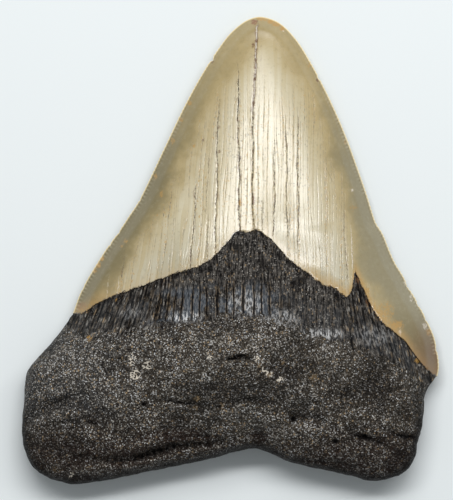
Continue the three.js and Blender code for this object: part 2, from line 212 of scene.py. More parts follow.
# Creases and the nutrient slit in the root: width, depth, height of the lip below, and route
CREASES = (
    (2.2, 1.9, 0.9, (
        (-39, -51.3), (-34, -52.2), (-24.8, -52.5), (-20.2, -51), (-13.1, -49.1), (-7.8, -48.4), (1, -48),
    )),
    (1.0, 1.0, 0.3, ((-20.8, -37.8), (-18.4, -37.3), (-14.4, -37.7), (-10, -38.3), (-5, -38.8))),
    (0.9, 2.4, 0.3, ((-1.0, -27.4), (1.2, -26.7), (4.1, -26.6), (5.6, -27.4))),
    (1.6, 1.2, 0.5, ((40, -45), (43, -46.6), (47.4, -46.8))),
    (1.7, 0.95, 0.4, ((29.2, -44.4), (31.7, -46.3), (35.5, -47.3), (40.1, -49.2))),
    (1.0, 0.9, 0.3, ((-36.9, -42.6), (-34.5, -43.1), (-32, -43.8))),
    (1.2, 0.8, 0.3, ((-12.7, -46.4), (-8, -46.6), (-3, -46.3))),
    (1.4, 0.8, 0.2, ((0, -38), (5, -37.2), (10, -38.4))),
    (1.6, 0.7, 0.2, ((-50, -40.4), (-44, -38.2), (-37, -35.6))),
    (1.5, 0.6, 0.2, ((-48, -33.4), (-43.5, -30.4), (-39, -27.4))),
    (1.4, 0.6, 0.2, ((12, -53.2), (20, -52.6), (30, -54))),
)
# Raised folds of the root: width, height and route
FOLDS = (
    (2.6, 0.8, ((-51.3, -38.2), (-43, -35.5), (-34.5, -32.8))),
    (2.2, 0.7, ((-48.5, -28.9), (-44, -26), (-40, -22.9))),
    (3.0, 0.8, ((-40, -46.3), (-32.6, -46.9), (-25.5, -49.2), (-19, -47.6))),
    (2.4, 0.7, ((-50, -44.2), (-42, -41.3), (-33, -41.4))),
    (3.2, 0.8, ((9.9, -41.8), (21.7, -45.2), (28, -47.2))),
    (3.0, 0.9, ((27, -50.5), (34, -50.6), (40, -52.4))),
    (2.4, 0.7, ((37, -44.5), (42, -43.6), (47, -43.8))),
    (2.6, 0.6, ((-10, -51.2), (-2, -49.8), (6, -48.6))),
)
ROUTE_POINTS = 24
# Their spread as shares of their width or radius, and where the lip of a crease lies
CREASE_SPREAD = 0.45
LIP_PLACE = 1.2
LIP_SPREAD = 0.7
FOLD_SPREAD = 0.5
PIT_SPREAD = 0.6
# Painted shade inside a crease and a pit: a share of its width or radius, and a width added to that.
# It is fainter in shallow creases
CREASE_SHADE = (0.12, 0.3)
PIT_SHADE = (0.3, 0.45)
SHALLOW = 0.15
# Pits and hollows in the root: place, radius and depth. Those narrower than PIT_WIDTH get painted shade
# inside
PIT_WIDTH = 1.35
PITS = (
    (15.8, -42.1, 1.3, 1.5), (26.3, -47.7, 1.2, 1.1), (33.8, -46.4, 0.9, 0.8),
    (-21.6, -38.3, 0.8, 2.0), (-2.6, -38.9, 0.9, 0.9), (7.3, -46.6, 3.6, 1.3),
    (42.5, -51.6, 4.0, 1.1), (11.5, -29.6, 2.8, 1.1), (-38, -47.6, 2.4, 0.7), (29, -36, 1.4, 0.6),
    (-30, -30, 1.3, 0.5), (5.2, -34.4, 1.6, 0.6), (-43, -33, 1.6, 0.6), (21, -38, 1.2, 0.5),
    (-13, -43.2, 2.2, 0.8), (38, -38.5, 1.6, 0.6), (-3, -43, 1.6, 0.7), (-28, -55, 1.8, 0.6),
)

# Cracks up the enamel, from left to right: x at CRACK_LEVEL, lean, bow, phase of their sway, lower
# end, upper end, width, depth and tone, which is below 0 where pale dust fills the crack
Crack = namedtuple("Crack", "x lean bow phase low high width depth tone")
CRACKS = tuple(Crack(*values) for values in (
    (-27.9, 0.100, 0.0, 3.2, -11.8, -5.0, 0.12, 0.03, -0.95),
    (-25.4, 0.092, 0.0, 2.0, -11.2, -4.0, 0.12, 0.03, -0.9),
    (-24.8, 0.092, 0.0, 2.0, -7.2, 2.0, 0.12, 0.04, 0.6),
    (-12.9, 0.080, 0.0, 4.0, -5.0, 9.0, 0.16, 0.00, -0.45),
    (-8.4, 0.062, 0.0, 5.1, -5.5, 21.0, 0.18, 0.11, 0.80),
    (-5.6, 0.040, 0.0, 1.1, 9.0, 29.0, 0.12, 0.02, 0.40),
    (-5.0, 0.065, 0.0, 0.2, -3.5, 12.0, 0.16, 0.10, 0.60),
    (-3.3, 0.020, 0.0, 2.6, -3.0, 41.0, 0.18, 0.11, 0.80),
    (2.2, -0.012, 0.0, 1.38, 4.0, 49.0, 0.20, 0.14, 0.95),
    (5.6, 0.0, 0.0010, 0.4, 4.0, 62.0, 0.24, 0.16, 0.95),
    (8.2, 0.0, 0.0, 2.1, 4.5, 15.0, 0.15, 0.08, 0.50),
    (11.1, 0.012, 0.0, 3.9, 3.5, 28.0, 0.18, 0.09, 0.75),
    (14.2, -0.008, 0.0, 0.9, 3.0, 36.0, 0.16, 0.08, 0.65),
    (17.05, -0.003, 0.0, 4.4, 1.0, 38.0, 0.16, 0.08, 0.65),
    (18.4, -0.010, 0.0, 1.7, -4.0, 12.0, 0.16, 0.00, -0.50),
    (21.8, -0.033, 0.0, 3.0, 1.6, 19.0, 0.16, 0.00, -0.95),
    (25.4, -0.020, 0.0, 5.5, -6.0, 12.0, 0.16, 0.00, -0.45),
    (28.2, -0.040, 0.0, 3.3, -7.0, 14.0, 0.16, 0.10, 0.50),
    (30.5, 0.0, 0.0, 2.4, -5.0, 9.0, 0.16, 0.00, -0.80),
))
CRACK_LEVEL = 20
# How wide and how quick the slow sway of a crack is, and then its small one
SWAY = (0.15, 0.31, 0.07, 0.97)
# Spread of a crack as a share of its width, length of its deeper stretches, and the lengths over
# which it opens at its foot and closes at its tail
CRACK_SPREAD = 0.9
CRACK_BREAKS = 1.7
CRACK_FOOT = 1
CRACK_TAIL = 8
# Least distance between two cracks, and width of the plain enamel beside the outermost ones
CRACK_CLEARANCE = 0.5
CRACK_SURROUND = 12

# Marks on the domed face, by kind: place, half width, half length and strength. They fade out
# between the shares MARK_FADE of that size
MARK_FADE = (0.5, 1.3)
MARKS = {
    "gold": (
        (10.2, 57.8, 1.0, 0.7, 1.0), (13.2, 56.0, 0.8, 0.8, 1.0), (8.4, 58.6, 2.4, 0.8, 0.9),
        (11.8, 57.1, 1.6, 0.8, 0.9), (6.6, 29.6, 0.6, 1.5, 0.6),
        (2.6, 12.0, 0.5, 1.3, 0.9), (7.4, 24.0, 0.5, 0.7, 0.5), (-9.1, 26.1, 0.5, 0.6, 0.8),
        (-17.3, 14.2, 0.5, 1.1, 0.8), (-18.3, 8.9, 0.5, 0.6, 0.6), (-26.3, 2.4, 0.8, 0.7, 0.7),
        (-27.4, 1.1, 0.7, 0.5, 0.7), (39.0, -15.4, 3.0, 3.0, 0.6), (41.8, -18.8, 2.2, 1.6, 0.75),
        (34.4, -10.4, 0.9, 1.6, 0.7), (31.0, 10.8, 1.4, 1.2, 0.45), (50.0, -20.6, 0.8, 1.1, 0.8),
        (51.8, -25.2, 0.7, 1.4, 0.6), (-10.2, 37.1, 0.6, 0.8, 0.8),
        (-12.3, 33.0, 0.6, 0.7, 0.8), (-14.5, 27.6, 0.7, 1.0, 0.7), (-18.8, 18.6, 0.6, 1.1, 0.7),
        (-32.5, -2.0, 0.9, 0.9, 0.9), (-33.4, -3.6, 0.9, 1.1, 0.9), (-34.3, -5.2, 0.8, 0.8, 0.8),
        (29.0, 27.3, 0.5, 0.9, 0.6), (20.0, 46.8, 0.5, 0.9, 0.7), (32.9, -8.2, 0.7, 1.0, 0.7),
        (7.2, -28.4, 1.0, 0.9, 0.9), (9.6, -30.9, 1.1, 0.8, 0.9), (13.1, -27.8, 0.8, 0.8, 0.8),
        (20.7, -31.7, 1.6, 1.3, 0.65), (-35.4, -22.1, 0.8, 1.0, 1.0), (-8.2, -37.0, 0.8, 0.9, 1.0),
        (-8.6, -39.2, 0.9, 0.8, 0.8), (-2.1, -38.8, 0.8, 0.9, 1.0), (-43.7, -55.0, 1.6, 1.2, 0.5),
        (46.9, -27.7, 0.8, 0.8, 0.8),
        (-28.6, -12.6, 0.5, 0.9, 0.7), (-36.8, -15.2, 1.4, 0.8, 0.6),
    ),
    "brown": (
        (5.8, 51.6, 0.5, 0.8, 0.9), (6.6, 52.8, 0.5, 0.6, 0.9), (6.4, 48.0, 0.5, 0.5, 0.8),
        (6.2, 46.0, 0.5, 0.5, 0.8), (6.1, 43.0, 0.5, 0.7, 0.9), (5.9, 37.0, 0.5, 1.2, 0.8),
        (6.3, 47.5, 0.6, 4.0, 0.4), (6.0, 38.0, 0.6, 6.0, 0.45),
        (5.9, 12.6, 0.5, 1.5, 0.9), (-2.8, 30.9, 0.5, 0.7, 0.8), (-2.7, 24.8, 0.5, 0.5, 0.9),
        (-6.8, 27.8, 0.5, 0.5, 0.8), (51.2, -25.6, 1.6, 3.2, 0.6), (32.0, -7.6, 0.7, 1.5, 0.9),
        (34.6, -12.8, 0.9, 1.4, 0.7), (16.0, -36.5, 4.0, 1.6, 0.5), (20.0, -40.5, 5.0, 1.5, 0.4),
        (22.1, 43.0, 0.6, 0.6, 0.9), (-4.5, 47.6, 0.6, 0.5, 0.7),
    ),
    "red": (
        (6.1, 57.6, 1.0, 0.9, 0.85), (-37.4, -14.2, 1.7, 1.5, 0.6),
        (-14.0, -46.4, 12.0, 2.0, 0.8), (7.5, -46.4, 4.5, 2.0, 0.8), (-15.5, 17.5, 2.5, 5.0, 0.12),
    ),
    "light": (
        (13.3, 55.4, 0.4, 0.4, 0.7), (49.1, -19.1, 0.8, 1.0, 0.8), (44.2, -8.3, 0.7, 0.5, 0.6),
        (45.7, -12.1, 0.6, 1.3, 0.6), (42.7, -20.5, 0.45, 1.4, 0.9), (30.8, 15.2, 0.4, 0.4, 0.9),
        (6.5, -26.9, 1.0, 0.8, 0.9), (8.4, -29.6, 0.9, 0.8, 0.8), (9.8, -30.8, 1.1, 0.8, 1.0),
        (12.4, -32.1, 1.0, 0.8, 0.9), (-24.6, -27.2, 1.0, 1.8, 1.0), (-23.7, -31.0, 1.6, 1.2, 1.0),
        (-20.4, -28.7, 1.7, 1.0, 1.0), (-5.0, -26.5, 1.0, 0.8, 0.8), (-39.9, -56.4, 0.9, 0.8, 1.0),
        # The last one is a painted glint
        (47.6, -28.8, 0.45, 0.45, 0.7),
    ),
    # Painted highlights where the neck's smooth plates glint
    "gleam": (
        (-11.3, -16.6, 4.6, 1.4, 0.75), (3.8, -13.2, 5.0, 3.4, 0.5), (12.8, -17.6, 4.6, 3.0, 0.4),
        (22.6, -20.9, 6.2, 1.4, 0.6), (-25.0, -15.6, 3.0, 1.6, 0.2), (36.0, -21.5, 5.0, 2.6, 0.22),
    ),
}

# Furrows down the neck's lower band: their pitch, how wide and how quick their two wanderings are,
# their half width and depth, and the height above the root over which the band ends
FURROW_PITCH = 2.25
FURROW_WANDER = (0.34, 0.83, 0.07, 1.1)
FURROW_WIDTH = 0.34
FURROW_DEPTH = 0.55
BAND_HEIGHT = (7.0, 10.0)
# They splay towards both lobes: where across the tooth that starts and is full, and the lean
FURROW_SPLAY = ((16, 38, 0.22), (-3, -30, -0.36))
SPLAY_LEVEL = -20
# Waves of the neck: height, length across and length along, of its upright grain and its rough bone
NECK_GRAIN = ((0.34, 0.6, 6), (0.4, 1.9, 8))
NECK_BONE = ((0.5, 1.1, 1.3), (0.3, 0.7, 0.8))
# How much of the rough bone the smooth band hides
BAND_SMOOTHNESS = 0.85

# Cloudy lumps of the root: size of the coarse and of the fine ones, height of the fine ones as a
# share of the others, and how much less the neck has
ROUGH_LUMPS = 3.2
ROUGH_GRAIN = 1.1
ROUGH_GRAIN_SHARE = 0.7
NECK_SMOOTHNESS = 0.75

# Numbers that scatter the heights of the irregular waves, so that each wave has its own
WAVE_SCATTER = (127.1, 311.7, 43758.5453)

# Each face is a sheet, with columns across and rows of the root, the neck, the enamel's ledge and
# the crown
COLUMNS = 104
ROOT_ROWS = 36
NECK_ROWS = 9
CROWN_ROWS = 70
NECK_START = ROOT_ROWS
LEDGE_START = ROOT_ROWS + NECK_ROWS
CROWN_START = LEDGE_START + 1
ROWS = CROWN_START + CROWN_ROWS
LEDGE_WIDTH = 0.35
# Stretch of the cutting edge, as shares of its length, in which a sheet ends at the point
TIP_ARC = (0.421, 0.474)
# How much columns and rows crowd towards the rim, from 0 to 1, the crown's rows by which the first
# gives way to the second, and the step of a border in rows
ROOT_CROWDING = 0.7
CROWN_CROWDING = 0.3
ROW_CROWDING = 0.6
CROWDING_ROWS = 6
BORDER_STEP = 0.125
# Distance in columns or rows that counts as on the rim
TOUCHING = 0.01
# Distances from the outline and from cracks within which a sheet is made finer, once for each
FINE_RIM = 1.6
FINE_EDGES = (1.5, 0.9)
FINE_CRACKS = (0.5, 0.3)
# Points measured at a time
BATCH = 4000
# Points of both faces that are closer than this, in metres, become one
SEAM_WIDTH = 2e-6
SMOOTH_ANGLE = math.radians(55)
FEWEST_POINTS = 1000

# Stage, in metres but for the sensor
FLOOR_SIZE = 4
FLOOR_ROUGHNESS = 0.9
SENSOR_WIDTH = 36
NEAREST_SEEN = 0.01


def clamp(value, low=0.0, high=1.0):
    return np.minimum(np.maximum(value, low), high)


def mix(low, high, share):
    return low + (high - low) * share


def ease(value, low, high):
    t = clamp((value - low) / (high - low))
    return t * t * (3 - 2 * t)


def quarter_round(t):
    return np.sqrt(1 - (1 - clamp(t)) ** 2)


def bell(distance, width):
    return np.exp(-((distance / width) ** 2))


def hill(x, y, centre, spread):
    return np.exp(-(((x - centre[0]) / spread[0]) ** 2) - ((y - centre[1]) / spread[1]) ** 2)


def line_through(points, count):
    """Evenly spaced points along a smooth curve through the given ones."""
    knots = np.array(points, float)
    knots = np.vstack([2 * knots[0] - knots[1], knots, 2 * knots[-1] - knots[-2]])
    t = np.linspace(0, 1, CURVE_STEPS, endpoint=False)[:, None]
    stretches = []
    for a, b, c, d in zip(knots, knots[1:], knots[2:], knots[3:]):
        ab, bc, cd = (math.sqrt(np.linalg.norm(q - p)) for p, q in ((a, b), (b, c), (c, d)))
        start = ((b - a) / ab - (c - a) / (ab + bc) + (c - b) / bc) * bc
        end = ((c - b) / bc - (d - b) / (bc + cd) + (d - c) / cd) * bc
        cubic = (2 * b - 2 * c + start + end) * t**3
        square = (-3 * b + 3 * c - 2 * start - end) * t**2
        stretches.append(cubic + square + start * t + b)
    dense = np.vstack([*stretches, knots[-2]])
    reach = np.concatenate([[0], np.cumsum(np.linalg.norm(np.diff(dense, axis=0), axis=1))])
    places = np.linspace(0, reach[-1], count + 1)
    return np.column_stack([np.interp(places, reach, dense[:, k]) for k in (0, 1)])


def at(line, share):
    """Points at shares of the way along a line of evenly spaced points."""
    steps = np.linspace(0, 1, len(line))
    return np.column_stack([np.interp(share, steps, line[:, k]) for k in (0, 1)])


def evenly_across(line):
    """The same line with its points at even steps across the tooth."""
    x = np.linspace(line[0, 0], line[-1, 0], len(line))
    return np.column_stack([x, np.interp(x, line[:, 0], line[:, 1])])


EDGE = line_through(CUTTING_EDGE, EDGE_POINTS)
EDGE_LENGTH = float(np.linalg.norm(np.diff(EDGE, axis=0), axis=1).sum())
LEFT_ROOT = line_through(LEFT_ROOT_SIDE, LEFT_POINTS)
RIGHT_ROOT = line_through(RIGHT_ROOT_SIDE, RIGHT_POINTS)
LOWER = line_through(LOWER_EDGE, LOWER_POINTS)
ENAMEL = evenly_across(line_through(ENAMEL_LINE, ENAMEL_POINTS))
UNDER_ENAMEL = evenly_across(line_through(UNDER_ENAMEL_LINE, LINE_POINTS))
LIMIT = evenly_across(line_through(CROWN_LIMIT, LINE_POINTS))
NECK = evenly_across(line_through(NECK_LINE, LINE_POINTS))
TIP = int(EDGE[:, 1].argmax())
LEFT_SIDE = np.vstack([LEFT_ROOT, EDGE[: TIP + 1]])
RIGHT_SIDE = np.vstack([RIGHT_ROOT, EDGE[TIP:][::-1]])
OUTLINE = np.vstack([LOWER[:-1], RIGHT_ROOT[:-1], EDGE[::-1], LEFT_ROOT[::-1][:-1]])
EDGE_PLACES = np.concatenate([
    np.full(len(LOWER) + len(RIGHT_ROOT) - 2, -1.0),
    np.linspace(1, 0, len(EDGE)) * EDGE_LENGTH,
    np.full(len(LEFT_ROOT) - 1, -1.0),
])


def near_outline(x, y):
    """Distance to the outline, the place along the cutting edge, and the way in from the outline."""
    ends = np.roll(OUTLINE, -1, axis=0)
    sides = ends - OUTLINE
    squares = np.maximum((sides**2).sum(axis=1), 1e-12)
    inset = np.empty(len(x))
    place = np.empty(len(x))
    inward = np.empty((len(x), 2))
    for first in range(0, len(x), BATCH):
        some = slice(first, first + BATCH)
        points = np.column_stack([x[some], y[some]])
        off = points[:, None, :] - OUTLINE[None]
        share = clamp((off * sides).sum(axis=2) / squares)
        gap = ((off - share[..., None] * sides) ** 2).sum(axis=2)
        best = gap.argmin(axis=1)
        rows = np.arange(len(best))
        inset[some] = np.sqrt(gap[rows, best])
        following = EDGE_PLACES[(best + 1) % len(OUTLINE)]
        own = EDGE_PLACES[best]
        along = mix(own, following, share[rows, best])
        place[some] = np.where((own < 0) | (following < 0), np.maximum(own, following), along)
        direction = sides[best] / np.sqrt(squares[best])[:, None]
        inward[some] = np.column_stack([-direction[:, 1], direction[:, 0]])
    return inset, place, inward


def rough_inset(x, y):
    """Distance to the nearest sample of the outline, near enough to choose what is made finer."""
    samples = OUTLINE[::2]
    inset = np.empty(len(x))
    for first in range(0, len(x), BATCH):
        some = slice(first, first + BATCH)
        gap = (x[some, None] - samples[:, 0]) ** 2 + (y[some, None] - samples[:, 1]) ** 2
        inset[some] = np.sqrt(gap.min(axis=1))
    return inset


def cross_place(x, y):
    """Place across the tooth: -1 on its left side, 0 in the middle, 1 on its right side."""
    left = np.interp(y, LEFT_SIDE[:, 1], LEFT_SIDE[:, 0])
    right = np.interp(y, RIGHT_SIDE[:, 1], RIGHT_SIDE[:, 0])
    return clamp(2 * (x - left) / np.maximum(right - left, 1e-6) - 1, -1, 1)


def above_line(x, y, line):
    """Height above a line that runs across the tooth."""
    return y - np.interp(x, line[:, 0], line[:, 1])


def rim_height(y):
    """Height at which both faces meet along the outline."""
    return mix(ROOT_RIM_HEIGHT, CUTTING_EDGE_HEIGHT, ease(y, *RIM_BLEND))


def waves(x, y):
    """Smooth irregular waves between -0.5 and 0.5, one step of the pattern for each unit."""
    i, j = np.floor(x), np.floor(y)
    across, along, spread = WAVE_SCATTER

    def value(a, b):
        mixed = np.sin(across * a + along * b) * spread
        return mixed - np.floor(mixed) - 0.5

    u, v = ease(x - i, 0, 1), ease(y - j, 0, 1)
    lower = mix(value(i, j), value(i + 1, j), u)
    upper = mix(value(i, j + 1), value(i + 1, j + 1), u)
    return mix(lower, upper, v)


def root_lumps(x, y):
    lump = waves(x / ROOT_LUMP_SIZE[0], y / ROOT_LUMP_SIZE[1])
    knob = waves((x + 0.5 * y) / ROOT_KNOB_SIZE[0], (y - 0.5 * x) / ROOT_KNOB_SIZE[1])
    return ROOT_LUMP_HEIGHT * lump + ROOT_KNOB_HEIGHT * knob


def crown_top(x, y, inset):
    """Height of the domed crown, which tapers to the point and hollows a little beside its blade."""
    s = cross_place(x, y)
    rise = np.maximum((TIP_Y - y) / CROWN_LENGTH, 0) ** CROWN_TAPER
    ridge = mix(CROWN_TIP_HEIGHT, CROWN_BASE_HEIGHT, rise)
    dome = (1 - s * s) ** mix(CROWN_TIP_FULLNESS, CROWN_BASE_FULLNESS, np.minimum(rise, 1))
    trough = MARGIN_TROUGH * bell(inset - MARGIN_TROUGH_INSET, MARGIN_TROUGH_WIDTH)
    rim = rim_height(y)
    full = (ridge - rim) * dome * quarter_round((TIP_Y - y) / TIP_ROUNDING)
    return rim + full * ease(inset, *BLADE_BAND) - trough * ease(inset, *MARGIN_TROUGH_BAND)


def root_top(x, y, inset):
    """Height of the root, which bulges in its middle."""
    full = LOBE_HEIGHT + (BULGE_HEIGHT - LOBE_HEIGHT) * hill(x, y, BULGE_CENTRE, BULGE_SPREAD)
    rim = rim_height(y)
    return rim + (full - rim) * quarter_round(inset / ROOT_ROUNDING)


def domed_height(x, y, inset):
    """Height of the domed face."""
    above = above_line(x, y, LIMIT)
    lumps = root_lumps(x, y) * (1 - ease(above, *LUMP_BLEND)) * ease(inset, 0, LUMP_FADE)
    crown = ease(above, *CROWN_BLEND)
    return mix(root_top(x, y, inset), crown_top(x, y, inset), crown) + lumps


def flat_height(x, y, inset):
    """Height of the flat face, which touches the resting plane on the crown and on both root lobes."""
    rim = rim_height(y)
    s = np.abs(cross_place(x, y))
    low, high = CROWN_PAD
    on_pad = ease(y, low - CROWN_PAD_FADE, low) * (1 - ease(y, high, high + CROWN_PAD_FADE))
    reach = PAD_DEPTH * (3 * on_pad - 2) - TIP_LIFT_SHARE * rim * ease(y, TIP_LIFT_START, TIP_Y)
    crown_face = rim - (rim + reach) * (1 - s**UNDERSIDE_FLATNESS)
    hollow = UNDER_HOLLOW * hill(x, y, UNDER_HOLLOW_CENTRE, UNDER_HOLLOW_SPREAD)
    floor = hollow - PAD_DEPTH + UNDER_LUMP_SHARE * root_lumps(x, y)
    root_face = rim - (rim - floor) * quarter_round(inset / UNDERSIDE_ROUNDING)
    above = above_line(x, y, UNDER_ENAMEL)
    return np.maximum(mix(root_face, crown_face, ease(above, *UNDER_BLEND)), 0)


def crack_offset(crack, x, y):
    """Distance across from a crack's line, which sways as it climbs."""
    up = y - CRACK_LEVEL
    wide, slow, narrow, quick = SWAY
    sway = wide * np.sin(slow * y + crack.phase) + narrow * np.sin(quick * y + 2 * crack.phase)
    return x - crack.x - crack.lean * up - crack.bow * up * up - sway


def crack_opening(crack, y):
    """How far a crack is open at a height: 0 beyond its ends, 1 between them."""
    opened = ease(y, crack.low - CRACK_FOOT, crack.low + CRACK_FOOT)
    return opened * (1 - ease(y, crack.high - CRACK_TAIL, crack.high))


def crack_depth(x, y):
    """How deep the cracks cut into the enamel."""
    total = np.zeros(len(x))
    for crack in CRACKS:
        broken = 1 + waves(y / CRACK_BREAKS, crack.phase + 0 * y)
        groove = bell(crack_offset(crack, x, y), CRACK_SPREAD * crack.width)
        total += crack.depth * broken * crack_opening(crack, y) * groove
    return total


def crack_field(x, y):
    """Signed distance across to the nearest crack, and its darkness there."""
    paths = np.array([x - crack_offset(crack, x, y) for crack in CRACKS])
    for left, right in zip(paths, paths[1:]):
        np.maximum(right, left + CRACK_CLEARANCE, out=right)
    tones = np.array([crack.tone * crack_opening(crack, y) for crack in CRACKS])
    paths = np.vstack([paths[0] - CRACK_SURROUND, paths, paths[-1] + CRACK_SURROUND])
    tones = np.vstack([0 * y, tones, 0 * y])
    after = np.clip((paths < x).sum(axis=0), 1, len(paths) - 1)
    each = np.arange(len(x))
    left, right = paths[after - 1, each], paths[after, each]
    share = clamp((x - left) / (right - left))
    gap = (right - left) / math.pi * np.sin(math.pi * share) * np.where(after % 2, 1, -1)
    return gap, mix(tones[after - 1, each], tones[after, each], share)


def mark_strength(kind, x, y):
    """How strongly the marks of one kind show, from 0 to 1."""
    total = np.zeros(len(x))
    for at_x, at_y, wide, long, strength in MARKS[kind]:
        reach = np.hypot((x - at_x) / wide, (y - at_y) / long)
        total = np.maximum(total, strength * (1 - ease(reach, *MARK_FADE)))
    return total


def near_crack(x, y, reach):
    """Whether places are within reach of a crack that is cut into the enamel."""
    found = np.zeros(len(x), bool)
    for crack in CRACKS:
        if crack.depth > 0:
            beside = np.abs(crack_offset(crack, x, y)) < reach
            found |= beside & (y > crack.low - CRACK_FOOT) & (y < crack.high)
    return found


def near_line(x, y, line):
    """Distance to a line, and the share of the way along it of the nearest place."""
    gap = np.full(len(x), np.inf)
    share = np.zeros(len(x))
    for k, (px, py) in enumerate(line):
        distance = np.hypot(x - px, y - py)
        share = np.where(distance < gap, k / (len(line) - 1), share)
        gap = np.minimum(distance, gap)
    return gap, share


def by_route(x, y, route):
    """Distance to a route, a strength that fades at both its ends, and whether the route runs above."""
    line = line_through(route, ROUTE_POINTS)
    gap, share = near_line(x, y, line)
    strength = np.sqrt(np.sin(math.pi * clamp(share, 0.02, 0.98)))
    return gap, strength, at(line, share)[:, 1] > y


def root_relief(x, y):
    """Height of the creases with their lips, the folds and the pits, and the painted shade inside them."""
    height = np.zeros(len(x))
    hollow = np.zeros(len(x))
    for width, depth, lip, route in CREASES:
        gap, strength, below = by_route(x, y, route)
        rolled = bell(gap - LIP_PLACE * width, LIP_SPREAD * width) * below
        height += strength * (lip * rolled - depth * bell(gap, CREASE_SPREAD * width))
        dark = bell(gap, CREASE_SHADE[0] * width + CREASE_SHADE[1])
        hollow = np.maximum(hollow, clamp(depth - SHALLOW) * strength * dark)
    for width, rise, route in FOLDS:
        gap, strength, _ = by_route(x, y, route)
        height += rise * strength * bell(gap, FOLD_SPREAD * width)
    for px, py, radius, depth in PITS:
        gap = np.hypot(x - px, y - py)
        height -= depth * bell(gap, PIT_SPREAD * radius)
        if radius < PIT_WIDTH:
            hollow = np.maximum(hollow, clamp(depth) * bell(gap, PIT_SHADE[0] * radius + PIT_SHADE[1]))
    return height, hollow


def neck_flow(x, y):
    """Place across the neck along its furrows, which splay towards both root lobes."""
    lean = sum(amount * ease(x, start, full) for start, full, amount in FURROW_SPLAY)
    return x + lean * (y - SPLAY_LEVEL)


def furrow_gap(flow, y):
    """Distance across the neck to the nearest furrow."""
    wide, slow, narrow, quick = FURROW_WANDER
    wander = wide * np.sin(slow * flow) + narrow * np.sin(quick * y + flow)
    phase = (flow + wander) / FURROW_PITCH
    return FURROW_PITCH * np.abs(phase - np.floor(phase) - 0.5)


def neck_height(x, y):
    """Furrows of the neck's lower band, its fine upright grain and the rough bone above the band."""
    flow = neck_flow(x, y)
    above = above_line(x, y, NECK)
    band = ease(above, -1, 1) * (1 - ease(above, *BAND_HEIGHT))
    furrow = bell(furrow_gap(flow, y), FURROW_WIDTH)
    fine = sum(size * waves(flow / across, y / along) for size, across, along in NECK_GRAIN)
    (bold, across, along), (faint, slanted, crossed) = NECK_BONE
    rough = bold * waves(x / across, y / along) + faint * waves((x + y) / slanted, (y - x) / crossed)
    return fine - FURROW_DEPTH * band * furrow + (1 - BAND_SMOOTHNESS * band) * rough


def serration(place, y, pitch):
    """Share of its full depth that a notch between serrations has at a place along the cutting edge."""
    (drift, slow), (variety, slower) = SERRATION_DRIFT, SERRATION_VARIETY
    phase = place / pitch + drift * waves(place / slow, 0.5 + 0 * place)
    notch = (1 - np.abs(np.sin(math.pi * phase))) ** SERRATION_SHARPNESS
    size = SERRATION_SIZE + variety * waves(place / slower, 4.5 + 0 * place)
    share = place / EDGE_LENGTH
    worn = ease(TIP_Y - y, 0, WORN_TIP_LENGTH) * ease(np.minimum(share, 1 - share), 0, SERRATION_START)
    return notch * size * worn


def nick_depth(x, y):
    """How far the nicks draw in the cutting edge."""
    total = np.zeros(len(x))
    for px, py, width, depth in NICKS:
        total += depth * bell(np.hypot(x - px, y - py), width)
    return total


def side_border(root_side, corner, towards_tip):
    """Border of a sheet from the lower edge up to the point, with several places for each row."""
    rows = np.arange(0, ROWS + BORDER_STEP, BORDER_STEP)
    ledge = LEDGE_WIDTH / EDGE_LENGTH
    low = rows / NECK_START
    root = at(root_side, mix(low, 1 - np.cos(0.5 * math.pi * clamp(low)), ROW_CROWDING))
    up = ((rows - NECK_START) / NECK_ROWS)[:, None]
    neck = mix(root_side[-1], np.array(corner), up)
    on_ledge = at(EDGE, towards_tip(ledge * (rows - LEDGE_START)))
    share = (rows - CROWN_START) / CROWN_ROWS
    end = TIP_ARC[0] if towards_tip(0.0) < 0.5 else 1 - TIP_ARC[1]
    crown = at(EDGE, towards_tip(mix(ledge, end, share)))
    points = np.where((rows <= NECK_START)[:, None], root, neck)
    points = np.where((rows >= LEDGE_START)[:, None], on_ledge, points)
    points = np.where((rows >= CROWN_START)[:, None], crown, points)
    return rows, points


BORDER_ROWS, LEFT_BORDER = side_border(LEFT_ROOT, LEFT_CORNER, lambda share: share)
_, RIGHT_BORDER = side_border(RIGHT_ROOT, RIGHT_CORNER, lambda share: 1 - share)
CLIMB = np.concatenate([[0], np.cumsum(
    np.linalg.norm(np.diff(LEFT_BORDER, axis=0), axis=1)
    + np.linalg.norm(np.diff(RIGHT_BORDER, axis=0), axis=1)
)])


def on_border(border, rows):
    """Points of a border at the given rows."""
    return np.column_stack([np.interp(rows, BORDER_ROWS, border[:, k]) for k in (0, 1)])


def zones(enamel, neck):
    """Stretches of rows of a sheet, each between two lines that run from the left to the right."""
    left, right = (on_border(b, np.array([LEDGE_START, CROWN_START])) for b in (LEFT_BORDER, RIGHT_BORDER))
    share = np.linspace(0, 1, len(enamel))[:, None]
    over = enamel + mix(left[1] - left[0], right[1] - right[0], share)
    tip = at(EDGE, np.linspace(*TIP_ARC, 200))
    lines = [(LEDGE_START, enamel), (CROWN_START, over), (ROWS, tip)]
    start = [(0, LOWER)] if neck is None else [(0, LOWER), (NECK_START, neck)]
    stops = start + lines
    return [(a[0], b[0], a[1], b[1]) for a, b in zip(stops, stops[1:])]


